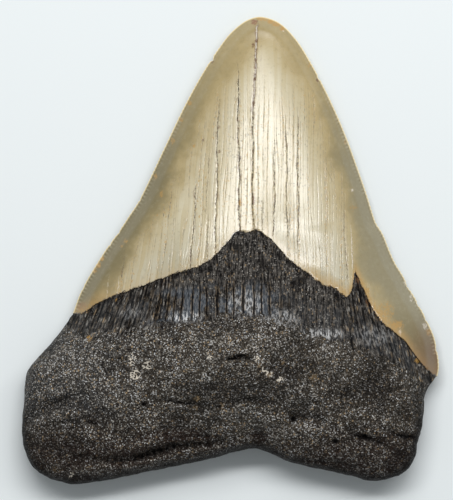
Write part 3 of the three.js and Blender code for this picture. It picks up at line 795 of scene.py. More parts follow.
def lay_out(column, row, stretches):
    """Plan position of places on a sheet, each given by its column and row."""
    u = column / COLUMNS
    crowding = mix(ROOT_CROWDING, CROWN_CROWDING, ease(row, NECK_START, CROWN_START + CROWDING_ROWS))
    u = mix(u, 0.5 - 0.5 * np.cos(math.pi * u), crowding)
    plan = np.zeros((len(u), 2))
    for first, last, lower, upper in stretches:
        some = (row >= first) & (row <= last)
        if not some.any():
            continue
        climb = np.interp([first, last], BORDER_ROWS, CLIMB)
        v = ((np.interp(row[some], BORDER_ROWS, CLIMB) - climb[0]) / (climb[1] - climb[0]))[:, None]
        w = u[some][:, None]
        left, right = on_border(LEFT_BORDER, row[some]), on_border(RIGHT_BORDER, row[some])
        ends = [on_border(b, np.array([first, last])) for b in (LEFT_BORDER, RIGHT_BORDER)]
        spot = (1 - v) * at(lower, u[some]) + v * at(upper, u[some]) + (1 - w) * left + w * right
        spot -= (1 - w) * ((1 - v) * ends[0][0] + v * ends[0][1])
        spot -= w * ((1 - v) * ends[1][0] + v * ends[1][1])
        plan[some] = spot
    return plan


def deselect_all():
    bpy.ops.object.select_all(action="DESELECT")


def read_points(mesh):
    points = np.empty(len(mesh.vertices) * 3)
    mesh.vertices.foreach_get("co", points)
    return points.reshape(-1, 3)


def write_points(mesh, points):
    mesh.vertices.foreach_set("co", np.asarray(points, float).ravel())
    mesh.update()


def add_sheet(name):
    """Flat grid of faces, one unit for each column and row."""
    deselect_all()
    bpy.ops.mesh.primitive_grid_add(x_subdivisions=COLUMNS, y_subdivisions=ROWS, size=1)
    sheet = bpy.context.object
    sheet.name = name
    points = read_points(sheet.data)
    points[:, :2] = (points[:, :2] + 0.5) * (COLUMNS, ROWS)
    write_points(sheet.data, points)
    return sheet


def split(sheet, kind, chosen):
    """Divides the chosen faces or edges of a sheet once, in edit mode."""
    bpy.ops.object.mode_set(mode="EDIT")
    bpy.ops.mesh.select_mode(type="FACE" if kind == "polygons" else "EDGE")
    bpy.ops.mesh.select_all(action="DESELECT")
    bpy.ops.object.mode_set(mode="OBJECT")
    getattr(sheet.data, kind).foreach_set("select", chosen)
    bpy.ops.object.mode_set(mode="EDIT")
    bpy.ops.mesh.subdivide(number_cuts=1)
    bpy.ops.object.mode_set(mode="OBJECT")


def face_centres(sheet):
    centres = np.empty(len(sheet.data.polygons) * 3)
    sheet.data.polygons.foreach_get("center", centres)
    return centres.reshape(-1, 3)[:, :2].T


def on_rim(column, row=None):
    """Whether places lie on a side of a sheet or, where rows are given, on any part of its rim."""
    found = (column < TOUCHING) | (column > COLUMNS - TOUCHING)
    return found if row is None else found | (row < TOUCHING) | (row > ROWS - TOUCHING)


def edge_middles(sheet):
    """Middle of each edge, and whether it runs up a column or along a row."""
    ends = np.empty(len(sheet.data.edges) * 2, int)
    sheet.data.edges.foreach_get("vertices", ends)
    points = read_points(sheet.data)[ends.reshape(-1, 2)]
    step = np.abs(points[:, 1] - points[:, 0])
    middle = points.mean(axis=1)
    return middle[:, 0], middle[:, 1], step[:, 0] < 1e-4, step[:, 1] < 1e-4


def refine(sheet, stretches, domed):
    """Makes a sheet finer where it has small forms: its borders, serrations, cracks and furrows."""
    column, row = face_centres(sheet)
    inset = rough_inset(*lay_out(column, row, stretches).T)
    outermost = (column < 1) | (column > COLUMNS - 1) | (row < 1) | (row > ROWS - 1)
    split(sheet, "polygons", np.full(len(row), True) if domed else (inset < FINE_RIM) | outermost)
    for reach in FINE_EDGES:
        column, row, upright, _ = edge_middles(sheet)
        inset = rough_inset(*lay_out(column, row, stretches).T)
        split(sheet, "edges", upright & (row > CROWN_START) & ((inset < reach) | on_rim(column)))
    if not domed:
        return
    for reach in FINE_CRACKS:
        column, row, _, level = edge_middles(sheet)
        plan = lay_out(column, row, stretches)
        cracked = near_crack(*plan.T, reach) & (row > LEDGE_START) & (row < ROWS - TOUCHING)
        furrowed = (row > NECK_START - 1) & (row < LEDGE_START) & (reach == FINE_CRACKS[0])
        split(sheet, "edges", level & (cracked | furrowed))


def pull_in(x, y, inset, place, enamelled, sizes):
    """How far the surface is drawn in at its rim, and the furrows that run in from the notches."""
    on_edge = (place >= 0) & enamelled
    notch = np.where(on_edge, serration(place, y, sizes.serration_pitch / MM), 0)
    fade = clamp(1 - inset / SERRATION_REACH) ** 1.5
    (slow, broad), (quick, small) = OUTLINE_WEAR
    worn = slow * (0.5 + waves(x / broad, y / broad)) + quick * (0.5 + waves(y / small, x / small))
    worn = np.where(on_edge, nick_depth(x, y), worn)
    drawn = (sizes.serration_depth / MM * notch + worn) * fade
    return drawn, SERRATION_TICK * notch * fade * ease(inset, 0, TICK_FADE)


def shape(sheet, stretches, domed, sizes):
    """Lays a sheet out over the tooth, lifts it to the height of its face and stores its masks."""
    column, row, _ = read_points(sheet.data).T
    x, y = lay_out(column, row, stretches).T
    inset, place, inward = near_outline(x, y)
    border = on_rim(column, row)
    inset = np.where(border, 0.0, inset)
    above = above_line(x, y, ENAMEL if domed else UNDER_ENAMEL)
    ragged = sum(size * waves(x / long, seed + 0 * x) for size, long, seed in RAGGED_BORDER)
    y = y + ragged * bell(above, RAGGED_REACH) * ease(inset, 0, RAGGED_FADE)
    enamel = clamp(row - LEDGE_START)
    height = (domed_height if domed else flat_height)(x, y, inset)

    drawn, tick = pull_in(x, y, inset, place, row >= LEDGE_START, sizes)
    x, y = x + inward[:, 0] * drawn, y + inward[:, 1] * drawn
    across = column / COLUMNS
    ends = clamp(across / LEDGE_END) * clamp((1 - across) / LEDGE_END)
    step = sizes.enamel_thickness / MM * enamel * ends * ease(inset, 0, LEDGE_FADE)
    if domed:
        height += step - tick - crack_depth(x, y) * enamel * ease(inset, 0, CRACK_FADE)
        neck = ease(row, NECK_START - NECK_BLEND_ROWS, NECK_START + NECK_BLEND_ROWS)
        relief, hollow = root_relief(x, y)
        height += (1 - enamel) * ease(inset, 0, RELIEF_FADE) * mix(relief, neck_height(x, y), neck)
    else:
        height = np.maximum(height - UNDER_LEDGE * step + tick, 0)
        neck = hollow = relief = np.zeros(len(x))
    height = np.where(border, rim_height(y), height)
    write_points(sheet.data, np.column_stack([x, y, height]) * MM)

    bare = (1 - enamel) * (1 - neck)
    crack_gap, crack_tone = crack_field(x, y)
    # The hollow mask carries the painted shade inside creases and pits
    masks = {
        "enamel": enamel, "neck": (1 - enamel) * neck, "inset": inset, "above": above,
        "collar": above_line(x, y, NECK), "hollow": hollow * bare,
        "relief": (relief + root_lumps(x, y) * RELIEF_OF_LUMPS) * bare, "place": np.maximum(place, 0),
        "crack_gap": crack_gap, "crack_tone": crack_tone * domed,
    }
    for kind in MARKS:
        masks[kind] = mark_strength(kind, x, y) * domed
    for name, values in masks.items():
        attribute = sheet.data.attributes.new(name, "FLOAT", "POINT")
        attribute.data.foreach_set("value", np.asarray(values, np.float32))
    weights = (1 - enamel) * (1 - NECK_SMOOTHNESS * neck) * ease(inset, 0, ROUGH_FADE)
    group = sheet.vertex_groups.new(name="root")
    for level in range(1, 11):
        some = np.nonzero(np.round(weights * 10) == level)[0]
        group.add([int(k) for k in some], level / 10, "REPLACE")


def roughen(tooth, name, size, height):
    """Raises and lowers the bare root by a cloudy pattern."""
    pattern = bpy.data.textures.new(name, "CLOUDS")
    pattern.noise_scale = size
    pattern.noise_depth = 2
    lifted = tooth.modifiers.new(name, "DISPLACE")
    lifted.texture = pattern
    lifted.texture_coords = "LOCAL"
    lifted.vertex_group = "root"
    lifted.strength = height
    lifted.mid_level = 0.5
    bpy.ops.object.modifier_apply(modifier=lifted.name)


def keep_in_box(tooth):
    """Keeps every point inside the box of the solid it dresses."""
    points = read_points(tooth.data)
    write_points(tooth.data, np.clip(points, CAD_BOX[0], CAD_BOX[1]))


def model_tooth(sizes):
    sheets = []
    for name, enamel, neck, domed in (
        ("domed_face", ENAMEL, NECK, True), ("flat_face", UNDER_ENAMEL, None, False),
    ):
        stretches = zones(enamel, neck)
        sheet = add_sheet(name)
        refine(sheet, stretches, domed)
        shape(sheet, stretches, domed, sizes)
        sheets.append(sheet)
    deselect_all()
    for sheet in sheets:
        sheet.select_set(True)
    bpy.context.view_layer.objects.active = sheets[0]
    bpy.ops.object.join()
    tooth = bpy.context.object
    tooth.name = "fossil_tooth"
    bpy.ops.object.mode_set(mode="EDIT")
    bpy.ops.mesh.select_mode(type="VERT")
    bpy.ops.mesh.select_all(action="DESELECT")
    bpy.ops.mesh.select_non_manifold(
        use_wire=False, use_boundary=True, use_multi_face=False, use_non_contiguous=False, use_verts=False)
    bpy.ops.mesh.remove_doubles(threshold=SEAM_WIDTH)
    bpy.ops.mesh.select_all(action="SELECT")
    bpy.ops.mesh.normals_make_consistent(inside=False)
    bpy.ops.object.mode_set(mode="OBJECT")
    roughen(tooth, "root_lumps", ROUGH_LUMPS * MM, sizes.root_roughness)
    roughen(tooth, "root_grain", ROUGH_GRAIN * MM, ROUGH_GRAIN_SHARE * sizes.root_roughness)
    keep_in_box(tooth)
    tooth.vertex_groups.clear()
    bpy.ops.object.shade_smooth_by_angle(angle=SMOOTH_ANGLE)
    return tooth


# Fine lines of the enamel and ticks of the neck, in millimetres as all of the finish
WIDE_LINES = {"Pitch": 1.3, "Width": 0.17, "Seed": 1.0}
THIN_LINES = {"Pitch": 0.71, "Width": 0.15, "Seed": 4.0}
NECK_TICKS = {"Pitch": 1.05, "Width": 0.42, "Seed": 9.0}
# Painted ticks along the cutting edge: painted highlight on the serrations and painted shade in their
# notches
TICK_PITCH = 0.95
# Grains of the neck, in its middle and then at its sides: length, share, colour and strength. Its grey
# flecks are grains that partly stand for painted glints
NECK_GRAIN_WIDTH = 0.42
NECK_GRAINS = (
    ((0.45, 0.8, "fleck", 1.0), (0.7, 0.2, "grit", 0.9)),
    ((1.3, 0.6, "fleck", 0.95), (1.7, 0.3, "grit", 0.95)),
)
# Grains of the root: size, share, colour and strength. Coarse ones fade out low on the root. The glint
# grains are painted highlights, and the grey flecks are grains that partly stand for painted glints
ROOT_GRAINS = (
    (0.8, 0.35, "root_grain", 0.8), (0.38, 0.75, "fleck", 1.1), (0.5, 0.2, "grit", 0.85),
    (0.32, 0.26, "glint", 1.2),
)
COARSE_GRAIN = 0.6
SOCKETS = {"Vector": "NodeSocketVector", "Color": "NodeSocketColor"}


class Web:
    """Short ways to add and join the nodes of one shader tree, and to paint with the tooth's colours."""

    def __init__(self, tree, colours=None):
        self.tree = tree
        self.colours = colours

    def add(self, kind, inputs=(), **settings):
        node = self.tree.nodes.new(kind)
        for name, value in settings.items():
            setattr(node, name, value)
        for socket, value in dict(inputs).items():
            self.feed(node.inputs[socket], value)
        return node

    def feed(self, socket, value):
        if isinstance(value, bpy.types.NodeSocket):
            self.tree.links.new(value, socket)
        else:
            socket.default_value = value

    def math(self, operation, a, b=0.0, c=0.0):
        return self.add("ShaderNodeMath", {0: a, 1: b, 2: c}, operation=operation).outputs[0]

    def plus(self, a, b):
        return self.math("ADD", a, b)

    def minus(self, a, b):
        return self.math("SUBTRACT", a, b)

    def over(self, a, b):
        return self.math("DIVIDE", a, b)

    def most(self, a, b):
        return self.math("MAXIMUM", a, b)

    def times(self, value, *others):
        for other in others:
            value = self.math("MULTIPLY", value, other)
        return value

    def times_plus(self, value, factor, more):
        return self.math("MULTIPLY_ADD", value, factor, more)

    def size(self, value):
        """A value without its sign."""
        return self.math("ABSOLUTE", value)

    def ramp(self, value, low, high, first=0.0, last=1.0):
        """Eased change from first to last as the value goes from low to high."""
        inputs = {"Value": value, "From Min": low, "From Max": high, "To Min": first, "To Max": last}
        node = self.add("ShaderNodeMapRange", inputs, interpolation_type="SMOOTHSTEP")
        return node.outputs["Result"]

    def blend(self, share, a, b):
        mixed = self.add("ShaderNodeMix", {"Factor": share, 6: a, 7: b}, data_type="RGBA")
        return mixed.outputs[2]

    def tone(self, name):
        """One of the tooth's colours."""
        return tuple(getattr(self.colours, name))

    def paint(self, colour, name, share):
        """Lays one of the tooth's colours over another colour."""
        return self.blend(share, colour, self.tone(name))

    def join(self, x, y, z):
        return self.add("ShaderNodeCombineXYZ", {"X": x, "Y": y, "Z": z}).outputs[0]

    def stretched(self, x, y, across, along, shift=0.0):
        """Position squeezed so that one pattern step is across by along millimetres."""
        return self.join(self.over(x, across), self.over(y, along), shift)

    def noise(self, vector, scale=1.0, detail=2.0, rough=0.5):
        inputs = {"Vector": vector, "Scale": scale, "Detail": detail, "Roughness": rough}
        return self.add("ShaderNodeTexNoise", inputs).outputs["Fac"]

    def attribute(self, name):
        return self.add("ShaderNodeAttribute", attribute_name=name).outputs["Fac"]

    def place(self, group, **values):
        return self.add("ShaderNodeGroup", values, node_tree=group).outputs

    def marks(self, colour, torn, **tints):
        """Lays the ragged marks of each kind over a colour."""
        for kind, tint in tints.items():
            strength = self.given[kind]
            shown = self.ramp(self.times_plus(strength, 0.34, torn), 0.6, 0.8)
            colour = self.paint(colour, tint, self.times(shown, strength))
        return colour

    def finish(self, colour, roughness, height):
        for label, value in (("Color", colour), ("Roughness", roughness), ("Height", height)):
            self.feed(self.out[label], value)
        return self.tree


def new_group(name, inputs, outputs, colours=None):
    """Web of a new shader node group, whose sockets are plain values but for Vector and Color."""
    group = bpy.data.node_groups.new(name, "ShaderNodeTree")
    for in_out, labels in (("INPUT", inputs), ("OUTPUT", outputs)):
        for label in labels:
            kind = SOCKETS.get(label, "NodeSocketFloat")
            group.interface.new_socket(label, in_out=in_out, socket_type=kind)
    web = Web(group, colours)
    web.given = web.add("NodeGroupInput").outputs
    web.out = web.add("NodeGroupOutput").inputs
    return web


def finish_group(name, masks, colours):
    """Web of a group for one part of the finish, with the place on the tooth in millimetres."""
    web = new_group(name, ("Vector", *masks), ("Color", "Roughness", "Height"), colours)
    web.vector = web.given["Vector"]
    web.x, web.y, _ = web.add("ShaderNodeSeparateXYZ", {0: web.vector}).outputs
    return web


def speck_group():
    """Small rounded grains of their own tone, scattered over a surface."""
    web = new_group("Specks", ("Vector", "Size", "Share"), ("Mask", "Tone"))
    cells = web.add("ShaderNodeTexVoronoi", {
        "Vector": web.given["Vector"], "Scale": web.over(1.0, web.given["Size"]),
    }).outputs
    drawn = web.add("ShaderNodeSeparateColor", {0: cells["Color"]}).outputs
    present = web.math("LESS_THAN", drawn[0], web.given["Share"])
    reach = web.times_plus(drawn[1], 0.2, 0.42)
    grain = web.ramp(cells["Distance"], web.minus(reach, 0.16), reach, 1, 0)
    web.feed(web.out["Mask"], web.times(grain, present))
    web.feed(web.out["Tone"], drawn[2])
    return web.tree


def line_group():
    """Thin lines at nearly even steps, each of its own strength, and a tone for each band between."""
    web = new_group("Lines", ("Flow", "Y", "Pitch", "Width", "Seed"), ("Line", "Tone", "Band"))
    flow, y, pitch, width, seed = [web.given[k] for k in range(5)]
    step = web.over(flow, pitch)
    gap = web.size(web.minus(web.math("FRACT", step), 0.5))
    line = web.ramp(web.times(gap, pitch), 0.02, width, 1, 0)
    own = web.math("FLOOR", step)
    slow = web.over(y, 28)
    tone = web.noise(web.join(web.times(own, 7.31), slow, seed), 1, 1)
    dash = web.noise(web.join(web.times(own, 3.17), y, seed), 0.5, 2, 0.6)
    line = web.times(line, web.ramp(tone, 0.4, 0.62, 0.1, 1), web.ramp(dash, 0.36, 0.56, 0.35, 1))
    between = web.math("FLOOR", web.plus(step, 0.5))
    web.feed(web.out["Line"], line)
    web.feed(web.out["Tone"], tone)
    web.feed(web.out["Band"], web.noise(web.join(web.times(between, 5.7), slow, seed), 1, 1))
    return web.tree


def enamel_ground(web, cloud):
    """Olive margins, cream further in, tan towards the point and grey low down as painted shade, and how
    far in it is.
    """
    x, y = web.x, web.y
    wobble = web.ramp(cloud, 0.25, 0.75, -1.4, 1.4)
    depth = web.over(web.plus(web.given["Inset"], wobble), web.ramp(y, -5, 20, 1.0, 0.88))
    depth = web.minus(depth, web.times(web.ramp(x, 24, 33, 0, 2.6), web.ramp(y, 12, -4)))
    depth = web.plus(depth, web.times(web.ramp(x, 6, 12, 0, 2.2), web.ramp(y, 24, 36)))
    body = web.ramp(depth, 5.0, 14.0)
    high = web.ramp(y, 16, 52, 0, 0.6)
    colour = web.paint(web.tone("margin"), "warm", high)
    paler = web.times(web.ramp(x, 22, 34, 0, 0.3), web.ramp(y, -24, -12))
    colour = web.paint(colour, "grey", paler)
    colour = web.paint(colour, "warm", web.ramp(depth, 2.6, 9.5))
    colour = web.paint(colour, "body", body)
    colour = web.paint(colour, "warm", web.times(high, web.ramp(cloud, 0.4, 0.62, 0.15, 0.7)))
    # Painted shade: the crown greyer and darker low down
    colour = web.paint(colour, "grey", web.times(web.ramp(y, 12, -6), body))
    clouded = web.noise(web.vector, 0.9, 4, 0.75)
    colour = web.paint(colour, "grey", web.ramp(clouded, 0.5, 0.7, 0, 0.2))
    colour = web.paint(colour, "margin", web.ramp(clouded, 0.48, 0.32, 0, 0.25))
    return colour, depth, body


def enamel_lines(web, lines, colour, depth, body, freckle):
    """Upright bands, fine lines and ochre dots, which fan out from the point, and their height."""
    x, y = web.x, web.y
    spread = web.times_plus(web.minus(20, y), web.ramp(x, 2, 14, 0.0052, 0.001), 1)
    fan = web.over(web.minus(x, 9), spread)
    flow = web.times_plus(web.noise(web.stretched(x, y, 3.5, 30, 7)), 3.0, fan)
    inner = web.times(web.ramp(depth, 4.5, 8), web.ramp(y, 50, 30))
    wide = web.place(lines, Flow=flow, Y=y, **WIDE_LINES)
    thin = web.place(lines, Flow=flow, Y=y, **THIN_LINES)
    colour = web.paint(colour, "pale", web.times(web.ramp(wide["Band"], 0.42, 0.6, 0, 0.3), body))
    colour = web.paint(colour, "warm", web.times(web.ramp(thin["Band"], 0.45, 0.6, 0, 0.38), inner))
    drawn = web.times(web.most(web.times(wide["Line"], 0.75), web.times(thin["Line"], 0.5)), inner)
    ink = web.paint(web.tone("streak"), "tan", web.ramp(freckle, 0.42, 0.56))
    colour = web.blend(drawn, colour, ink)
    dots = web.times(web.ramp(freckle, 0.58, 0.66), web.ramp(wide["Tone"], 0.5, 0.6), inner, 0.75)
    colour = web.paint(colour, "ochre", dots)
    height = web.times_plus(web.times(wide["Band"], inner), 0.08, web.times(drawn, -0.1))
    return colour, height


def enamel_cracks(web, colour, height):
    """Cracks with dirt or pale dust in them and stains beside them, and the chips of the tall one."""
    x, y = web.x, web.y
    shiver = web.ramp(web.noise(web.stretched(x, y, 5, 0.6, 31), 1, 3), 0.3, 0.7, -0.09, 0.09)
    ragged = web.noise(web.stretched(x, y, 1.5, 0.8, 37), 1, 4, 0.7)
    blot = web.ramp(web.noise(web.stretched(x, y, 0.8, 1.6, 43), 1, 3, 0.6), 0.5, 0.62)
    gap = web.size(web.plus(web.given["Crack Gap"], shiver))
    dark = web.most(web.given["Crack Tone"], 0)
    colour = web.paint(colour, "stain", web.times(blot, web.ramp(gap, 0.0, 0.9, 1, 0), dark, 0.8))
    width = web.times(web.ramp(ragged, 0.3, 0.7, 0.2, 1.0), 0.08)
    line = web.ramp(gap, width, web.plus(width, 0.1), 1, 0)
    line = web.times(line, web.ramp(ragged, 0.42, 0.55, 0.15, 1))
    dirt = web.times(line, dark)
    colour = web.paint(colour, "crack", dirt)
    colour = web.paint(colour, "chip", web.times(line, web.given["Crack Tone"], -1))
    chipped = web.times(dark, web.ramp(y, 33, 37), web.ramp(y, 57.2, 56.2), web.ramp(x, 4.3, 5.0),
                        web.ramp(x, 8.2, 7.6))
    border = web.times(web.ramp(gap, 0.2, 0.4, 1, 0), web.ramp(ragged, 0.4, 0.54, 0.35, 0.9), chipped)
    colour = web.paint(colour, "stain", border)
    core = web.times(web.ramp(gap, 0.1, 0.24, 1, 0), web.ramp(blot, 0.2, 0.6, 1.0, 0.3), chipped)
    return web.paint(colour, "chip", core), web.times_plus(dirt, -0.12, height)


def enamel_foot(web, colour, freckle, torn):
    """Ochre and brown along the enamel's lower end, a browner right corner, and dirt over the border."""
    x, y, above = web.x, web.y, web.given["Above"]
    ends = web.most(web.ramp(x, 10, 30, 0.25, 0.9), web.ramp(x, -26, -36, 0, 0.85))
    foot = web.times(web.ramp(above, 0.3, 4.2, 1, 0), ends, web.ramp(freckle, 0.3, 0.6, 0.4, 0.75))
    colour = web.paint(colour, "ochre", foot)
    lip = web.times(web.ramp(above, 0.1, 0.8, 0.9, 0), web.ramp(torn, 0.4, 0.6))
    colour = web.paint(colour, "stain", lip)
    corner = web.times(web.ramp(x, 42, 50, 0, 0.62), web.ramp(y, -14, -26))
    colour = web.paint(colour, "stain", corner)
    spill = web.ramp(web.times_plus(torn, -2.6, above), -1.15, -0.9, 1, 0)
    return web.paint(colour, "crack", spill)


def enamel_edge(web, colour, cloud):
    """Painted highlight and shade ticks along the serrations, and the thin edge itself painted pale as
    light glowing through it.
    """
    inset = web.given["Inset"]
    tick = web.size(web.math("SINE", web.times(web.over(web.given["Place"], TICK_PITCH), math.pi)))
    beside = web.times(web.ramp(inset, 0.5, 1.6, 1, 0), web.ramp(cloud, 0.42, 0.58, 0.1, 1),
                       web.ramp(web.y, 46, 28, 0.1, 1))
    # Painted highlight on the serrations and painted shade in their notches
    colour = web.paint(colour, "pale", web.times(web.ramp(tick, 0.6, 1), beside, 0.2))
    colour = web.paint(colour, "streak", web.times(web.ramp(tick, 0.1, 0.5, 1, 0), beside, 0.4))
    # Painted light: the thin edge and its side wall glow pale
    return web.paint(colour, "thin_edge_glow", web.ramp(inset, 0.0, 0.42, 0.95, 0))


def enamel_group(specks, lines, colours):
    """Cream enamel with olive margins, fine upright lines, dark cracks and brown stains, painted shade low
    down and painted light along the cutting edge.
    """
    masks = ("Inset", "Above", "Place", "Crack Gap", "Crack Tone", "Gold", "Brown", "Red", "Light")
    web = finish_group("Enamel", masks, colours)
    x, y = web.x, web.y
    cloud = web.noise(web.vector, 0.12, 3, 0.6)
    freckle = web.noise(web.stretched(x, y, 0.5, 0.9, 9), 1, 3, 0.65)
    torn = web.noise(web.vector, 1.6, 3, 0.7)
    colour, depth, body = enamel_ground(web, cloud)
    colour, height = enamel_lines(web, lines, colour, depth, body, freckle)
    colour, height = enamel_cracks(web, colour, height)
    colour = web.marks(colour, torn, Red="rust", Brown="stain", Gold="ochre", Light="chip")
    colour = enamel_foot(web, colour, freckle, torn)
    pepper = web.place(specks, Vector=web.vector, Size=0.55, Share=0.3)["Mask"]
    pepper = web.times(pepper, web.ramp(x, -6, 4), web.ramp(x, 24, 14), web.ramp(y, 36, 28),
                       web.ramp(cloud, 0.4, 0.55), 0.5)
    colour = web.paint(colour, "streak", pepper)
    colour = enamel_edge(web, colour, cloud)
    return web.finish(colour, web.ramp(depth, 3, 9, 0.42, 0.2), height)


def neck_bone(web, specks, lines, flow, ridge, grain, shine):
    """Dark bone with worn ridges under a partly painted sheen and upright grains, and with dark grooves at
    both sides.
    """
    side = web.most(web.ramp(web.x, -8, -18), web.ramp(web.x, 22, 32))
    middle = web.minus(1, web.times(side, 0.7))
    patch = web.noise(web.vector, 0.3, 3, 0.6)
    patchy = web.times(web.ramp(shine, 0.36, 0.56, 0.3, 1), web.ramp(patch, 0.38, 0.62, 0.4, 1.45))
    colour = web.paint(web.tone("root_deep"), "neck", web.ramp(grain, 0.44, 0.6))
    # The worn ridges are lighter partly as a painted sheen, where the shine pattern is high
    worn = web.times(web.ramp(ridge, 0.44, 0.6), web.ramp(shine, 0.4, 0.6, 0.3, 0.95))
    colour = web.paint(colour, "neck_ridge_sheen", worn)
    for spread, kinds in zip((middle, side), NECK_GRAINS):
        for long, share, tint, strength in kinds:
            vector = web.stretched(flow, web.y, NECK_GRAIN_WIDTH, long, 5 * long)
            grains = web.place(specks, Vector=vector, Size=1.0, Share=share)
            shown = web.ramp(grains["Tone"], 0.1, 1, 0, strength)
            colour = web.paint(colour, tint, web.times(grains["Mask"], shown, spread, patchy))
    colour = web.paint(colour, "root_deep", web.ramp(patch, 0.5, 0.36, 0, 0.55))
    ticks = web.place(lines, Flow=flow, Y=web.times(web.y, 1.6), **NECK_TICKS)
    return web.paint(colour, "root_deep", web.times(web.ramp(ticks["Line"], 0.05, 0.5, 0, 0.95), side))


def neck_plates(web, colour, flow, shine, band, plate, smooth):
    """Smooth blue-black plates with painted white gleams as highlights, and the furrows with their worn
    borders.
    """
    wide, slow, narrow, quick = FURROW_WANDER
    wander = web.times(web.math("SINE", web.times(flow, slow)), wide)
    wander = web.times_plus(web.math("SINE", web.times_plus(web.y, quick, flow)), narrow, wander)
    phase = web.over(web.plus(flow, wander), FURROW_PITCH)
    gap = web.times(web.size(web.minus(web.math("FRACT", phase), 0.5)), FURROW_PITCH)
    colour = web.paint(colour, "neck_blue", smooth)
    # Painted highlight: gleams on the plates
    lit = web.most(web.given["Gleam"], web.times(plate, 0.1))
    colour = web.paint(colour, "glint", web.times(lit, web.ramp(shine, 0.46, 0.58, 0.08, 1.3)))
    beside = web.times(web.ramp(gap, 0.5, 0.3), band, 0.55, web.ramp(shine, 0.45, 0.6))
    colour = web.paint(colour, "grit", beside)
    return web.paint(colour, "root_deep", web.times(web.ramp(gap, 0.14, 0.34, 1, 0), band, 0.92))


def neck_group(specks, lines, colours):
    """Dark neck: rough, finely ticked bone with smooth blue-black plates between furrows, and painted
    gleams on the plates.
    """
    web = finish_group("Neck", ("Collar", "Gold", "Brown", "Light", "Gleam"), colours)
    x, y, collar = web.x, web.y, web.given["Collar"]
    leans = [web.ramp(x, start, full, 0, amount) for start, full, amount in FURROW_SPLAY]
    flow = web.times_plus(web.plus(*leans), web.minus(y, SPLAY_LEVEL), x)
    cloud = web.noise(web.vector, 0.14, 3, 0.6)
    ridge = web.noise(web.stretched(flow, y, 0.42, 3.4), 1, 3, 0.65)
    grain = web.noise(web.vector, 2.4, 3, 0.7)
    shine = web.noise(web.stretched(flow, y, 0.45, 1.5, 21), 1, 3, 0.65)
    band = web.times(web.ramp(collar, 0, 1.2), web.ramp(collar, *BAND_HEIGHT, 1, 0),
                     web.ramp(x, -24, -16, 0.1, 1), web.ramp(x, 8, 16, 1, 0.2))
    plate = web.times(band, web.ramp(cloud, 0.4, 0.52))
    smooth = web.times(plate, web.ramp(ridge, 0.34, 0.48, 0.3, 0.95))
    colour = neck_bone(web, specks, lines, flow, ridge, grain, shine)
    colour = neck_plates(web, colour, flow, shine, band, plate, smooth)
    colour = web.marks(colour, shine, Brown="stain", Gold="ochre", Light="chip")
    rough = web.times(grain, web.ramp(smooth, 0.1, 0.7, 0.6, 0.05))
    return web.finish(colour, web.ramp(smooth, 0.2, 0.7, 0.55, 0.3), web.times_plus(ridge, 0.5, rough))


def root_grains(web, specks, colour, cloud, mottle):
    """Dust and grains on the root, under painted light and shade: a painted sheen below the neck, lighter
    on raised parts, fainter in its hollows, low down and at the right.
    """
    x, y = web.x, web.y
    relief = web.times_plus(web.minus(mottle, 0.5), 1.6, web.given["Relief"])
    # Painted light and shade: a painted sheen below the neck, darker low down and at the right, lighter on
    # raised parts; mottle and cloud add random tone
    lit = web.times(
        web.ramp(mottle, 0.36, 0.58, 0.45, 1), web.ramp(cloud, 0.3, 0.65, 0.75, 1),
        web.ramp(y, -18, -44, 1.36, 1.14), web.ramp(y, -44, -50, 1, 0.6),
        web.ramp(x, 16, 40, 1.2, 0.86), web.ramp(relief, -0.6, 0.9, 0.42, 1.4),
    )
    coarse = web.times(lit, web.ramp(y, -32, -42, 1, 0.3))
    dust = web.noise(web.vector, 3.4, 3, 0.85)
    colour = web.paint(colour, "root_grain", web.times(web.ramp(dust, 0.44, 0.66, 0, 0.85), lit))
    for size, share, tint, strength in ROOT_GRAINS:
        shift = (17 * size, 31 * size, 5 * size)
        moved = web.add("ShaderNodeVectorMath", {0: web.vector, 1: shift}, operation="ADD")
        grains = web.place(specks, Vector=moved.outputs[0], Size=size, Share=share)
        shown = web.ramp(grains["Tone"], 0.12, 1, 0, strength)
        among = coarse if size > COARSE_GRAIN else lit
        colour = web.paint(colour, tint, web.times(grains["Mask"], shown, among))
    return colour


